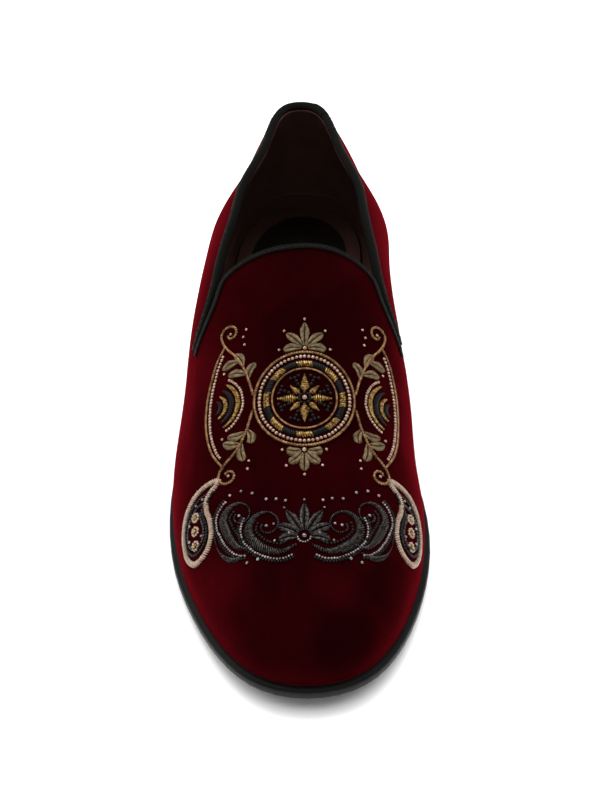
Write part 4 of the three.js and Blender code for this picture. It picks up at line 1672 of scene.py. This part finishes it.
@dataclass
class Underfoot:
    """The sole, the heel and what the foot stands on."""

    insole_edge: float = 0.5 * MM
    pad_edge: float = 0.45 * MM
    sole_edge: float = 0.0
    heel_edge: float = 0.35 * MM

    def build(self) -> None:
        """Make the pieces below the upper, each over its solid."""
        rows = (
            ("outsole", "sole", self.sole_edge, SOLE_LEATHER, Slot.SOLE),
            ("heel_stack", "heel_lifts", self.heel_edge, StackedLeather(), Slot.SOLE),
            ("heel_top_piece", "heel_tread", self.heel_edge, Rubber(), Slot.HEEL),
            ("insole", "sock_lining", self.insole_edge, LINING, Slot.LINING),
            ("heel_pad", "sock_pad", self.pad_edge, PAD_LEATHER, Slot.PAD),
        )
        for node, name, soften, finish, slot in rows:
            add_piece(smooth_copy(node, name, soften), finish.material(), (node,))


@dataclass
class Studio:
    """The floor, the light and the camera of the photograph."""

    picture: tuple[int, int] = (600, 800)
    focal_pixels: float = 1064.0
    azimuth: float = math.radians(-0.93)
    elevation: float = math.radians(41.55)
    roll: float = math.radians(-0.76)
    distance: float = 444.6 * MM
    target: Place = (0.8 * MM, -19.2 * MM, 30 * MM)
    sensor: float = 36.0
    nearest: float = 0.01
    floor_size: float = 6.0
    floor_shade: float = 0.93
    floor_roughness: float = 0.9
    lamps: tuple[tuple[str, Place, float, float], ...] = (
        ("overhead", (-0.1, 0.75, 1.5), 1.3, 20.0),
        ("left", (-1.2, 0.1, 0.8), 0.8, 4.0),
        ("right", (1.2, 0.3, 0.9), 0.8, 3.0),
    )
    wash: tuple[str, Place, float, float] = ("floor_wash", (0.0, 0.45, 2.0), 3.0, 75.0)
    sky: float = 0.42

    def camera(self) -> None:
        """Place the camera at the photograph's angle."""
        level = Vector((math.sin(self.azimuth), math.cos(self.azimuth), 0.0))
        forward = level * math.cos(self.elevation) - Vector((0, 0, math.sin(self.elevation)))
        right = Vector((level.y, -level.x, 0.0))
        up = right.cross(forward)
        turned_right = right * math.cos(self.roll) + up * math.sin(self.roll)
        turned_up = up * math.cos(self.roll) - right * math.sin(self.roll)
        data = bpy.data.cameras.new("camera")
        data.sensor_fit = "VERTICAL"
        data.sensor_height = self.sensor
        data.lens = self.sensor * self.focal_pixels / self.picture[1]
        data.clip_start = self.nearest
        camera = bpy.data.objects.new("camera", data)
        turn = Matrix((turned_right, turned_up, -forward)).transposed().to_4x4()
        place = Vector(self.target) - forward * self.distance
        camera.matrix_world = Matrix.Translation(place) @ turn
        bpy.context.scene.collection.objects.link(camera)
        bpy.context.scene.camera = camera

    def floor(self) -> bpy.types.Collection:
        """Lay a plain pale floor, and give the collection that it is alone in."""
        half, shade = self.floor_size / 2, self.floor_shade
        corners = [(-half, -half, 0), (half, -half, 0), (half, half, 0), (-half, half, 0)]
        floor = bpy.data.objects.new("floor", mesh_of("floor", corners, [(0, 1, 2, 3)]))
        paper = Recipe("floor_paper").finish(
            Base_Color=(shade, shade, shade, 1.0), Roughness=self.floor_roughness
        )
        floor.data.materials.append(paper)
        bpy.context.scene.collection.objects.link(floor)
        alone = bpy.data.collections.new("lit_floor")
        alone.objects.link(floor)
        return alone

    def lamp(self, name: str, place: Place, size: float, power: float) -> bpy.types.Object:
        """Hang a soft square light that faces the shoe.

        Args:
            name: its name.
            place: where it hangs.
            size: the length of its sides.
            power: its power in watts.

        Returns:
            The lamp.
        """
        data = bpy.data.lights.new(name, "AREA")
        data.shape = "SQUARE"
        data.size = size
        data.energy = power
        lamp = bpy.data.objects.new(name, data)
        aim = Vector(self.target) - Vector(place)
        turn = aim.to_track_quat("-Z", "Y").to_matrix().to_4x4()
        lamp.matrix_world = Matrix.Translation(place) @ turn
        bpy.context.scene.collection.objects.link(lamp)
        return lamp

    def build(self) -> None:
        """Set up the studio."""
        self.camera()
        lit_floor = self.floor()
        for lamp in self.lamps:
            self.lamp(*lamp)
        self.lamp(*self.wash).light_linking.receiver_collection = lit_floor
        world = bpy.data.worlds.new("studio")
        world.use_nodes = True
        background = world.node_tree.nodes["Background"]
        background.inputs[0].default_value = (1.0, 1.0, 1.0, 1.0)
        background.inputs[1].default_value = self.sky
        bpy.context.scene.world = world
        bpy.context.scene.view_settings.view_transform = "Standard"


def main() -> None:
    """Dress the slipper and set up its studio."""
    logging.basicConfig(level=logging.INFO, format="%(name)s %(message)s")
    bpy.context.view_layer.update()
    Studio().build()
    upper = Upper()
    upper.build()
    bindings = Bindings(upper.edge_lines())
    bindings.build()
    Underfoot().build()
    work = Needlework(VampChart(upper.outside))
    bindings.sew(work)
    StarMedallion().draw(work)
    ScrollBorder().draw(work)
    work.build()


if __name__ == "__main__":
    main()
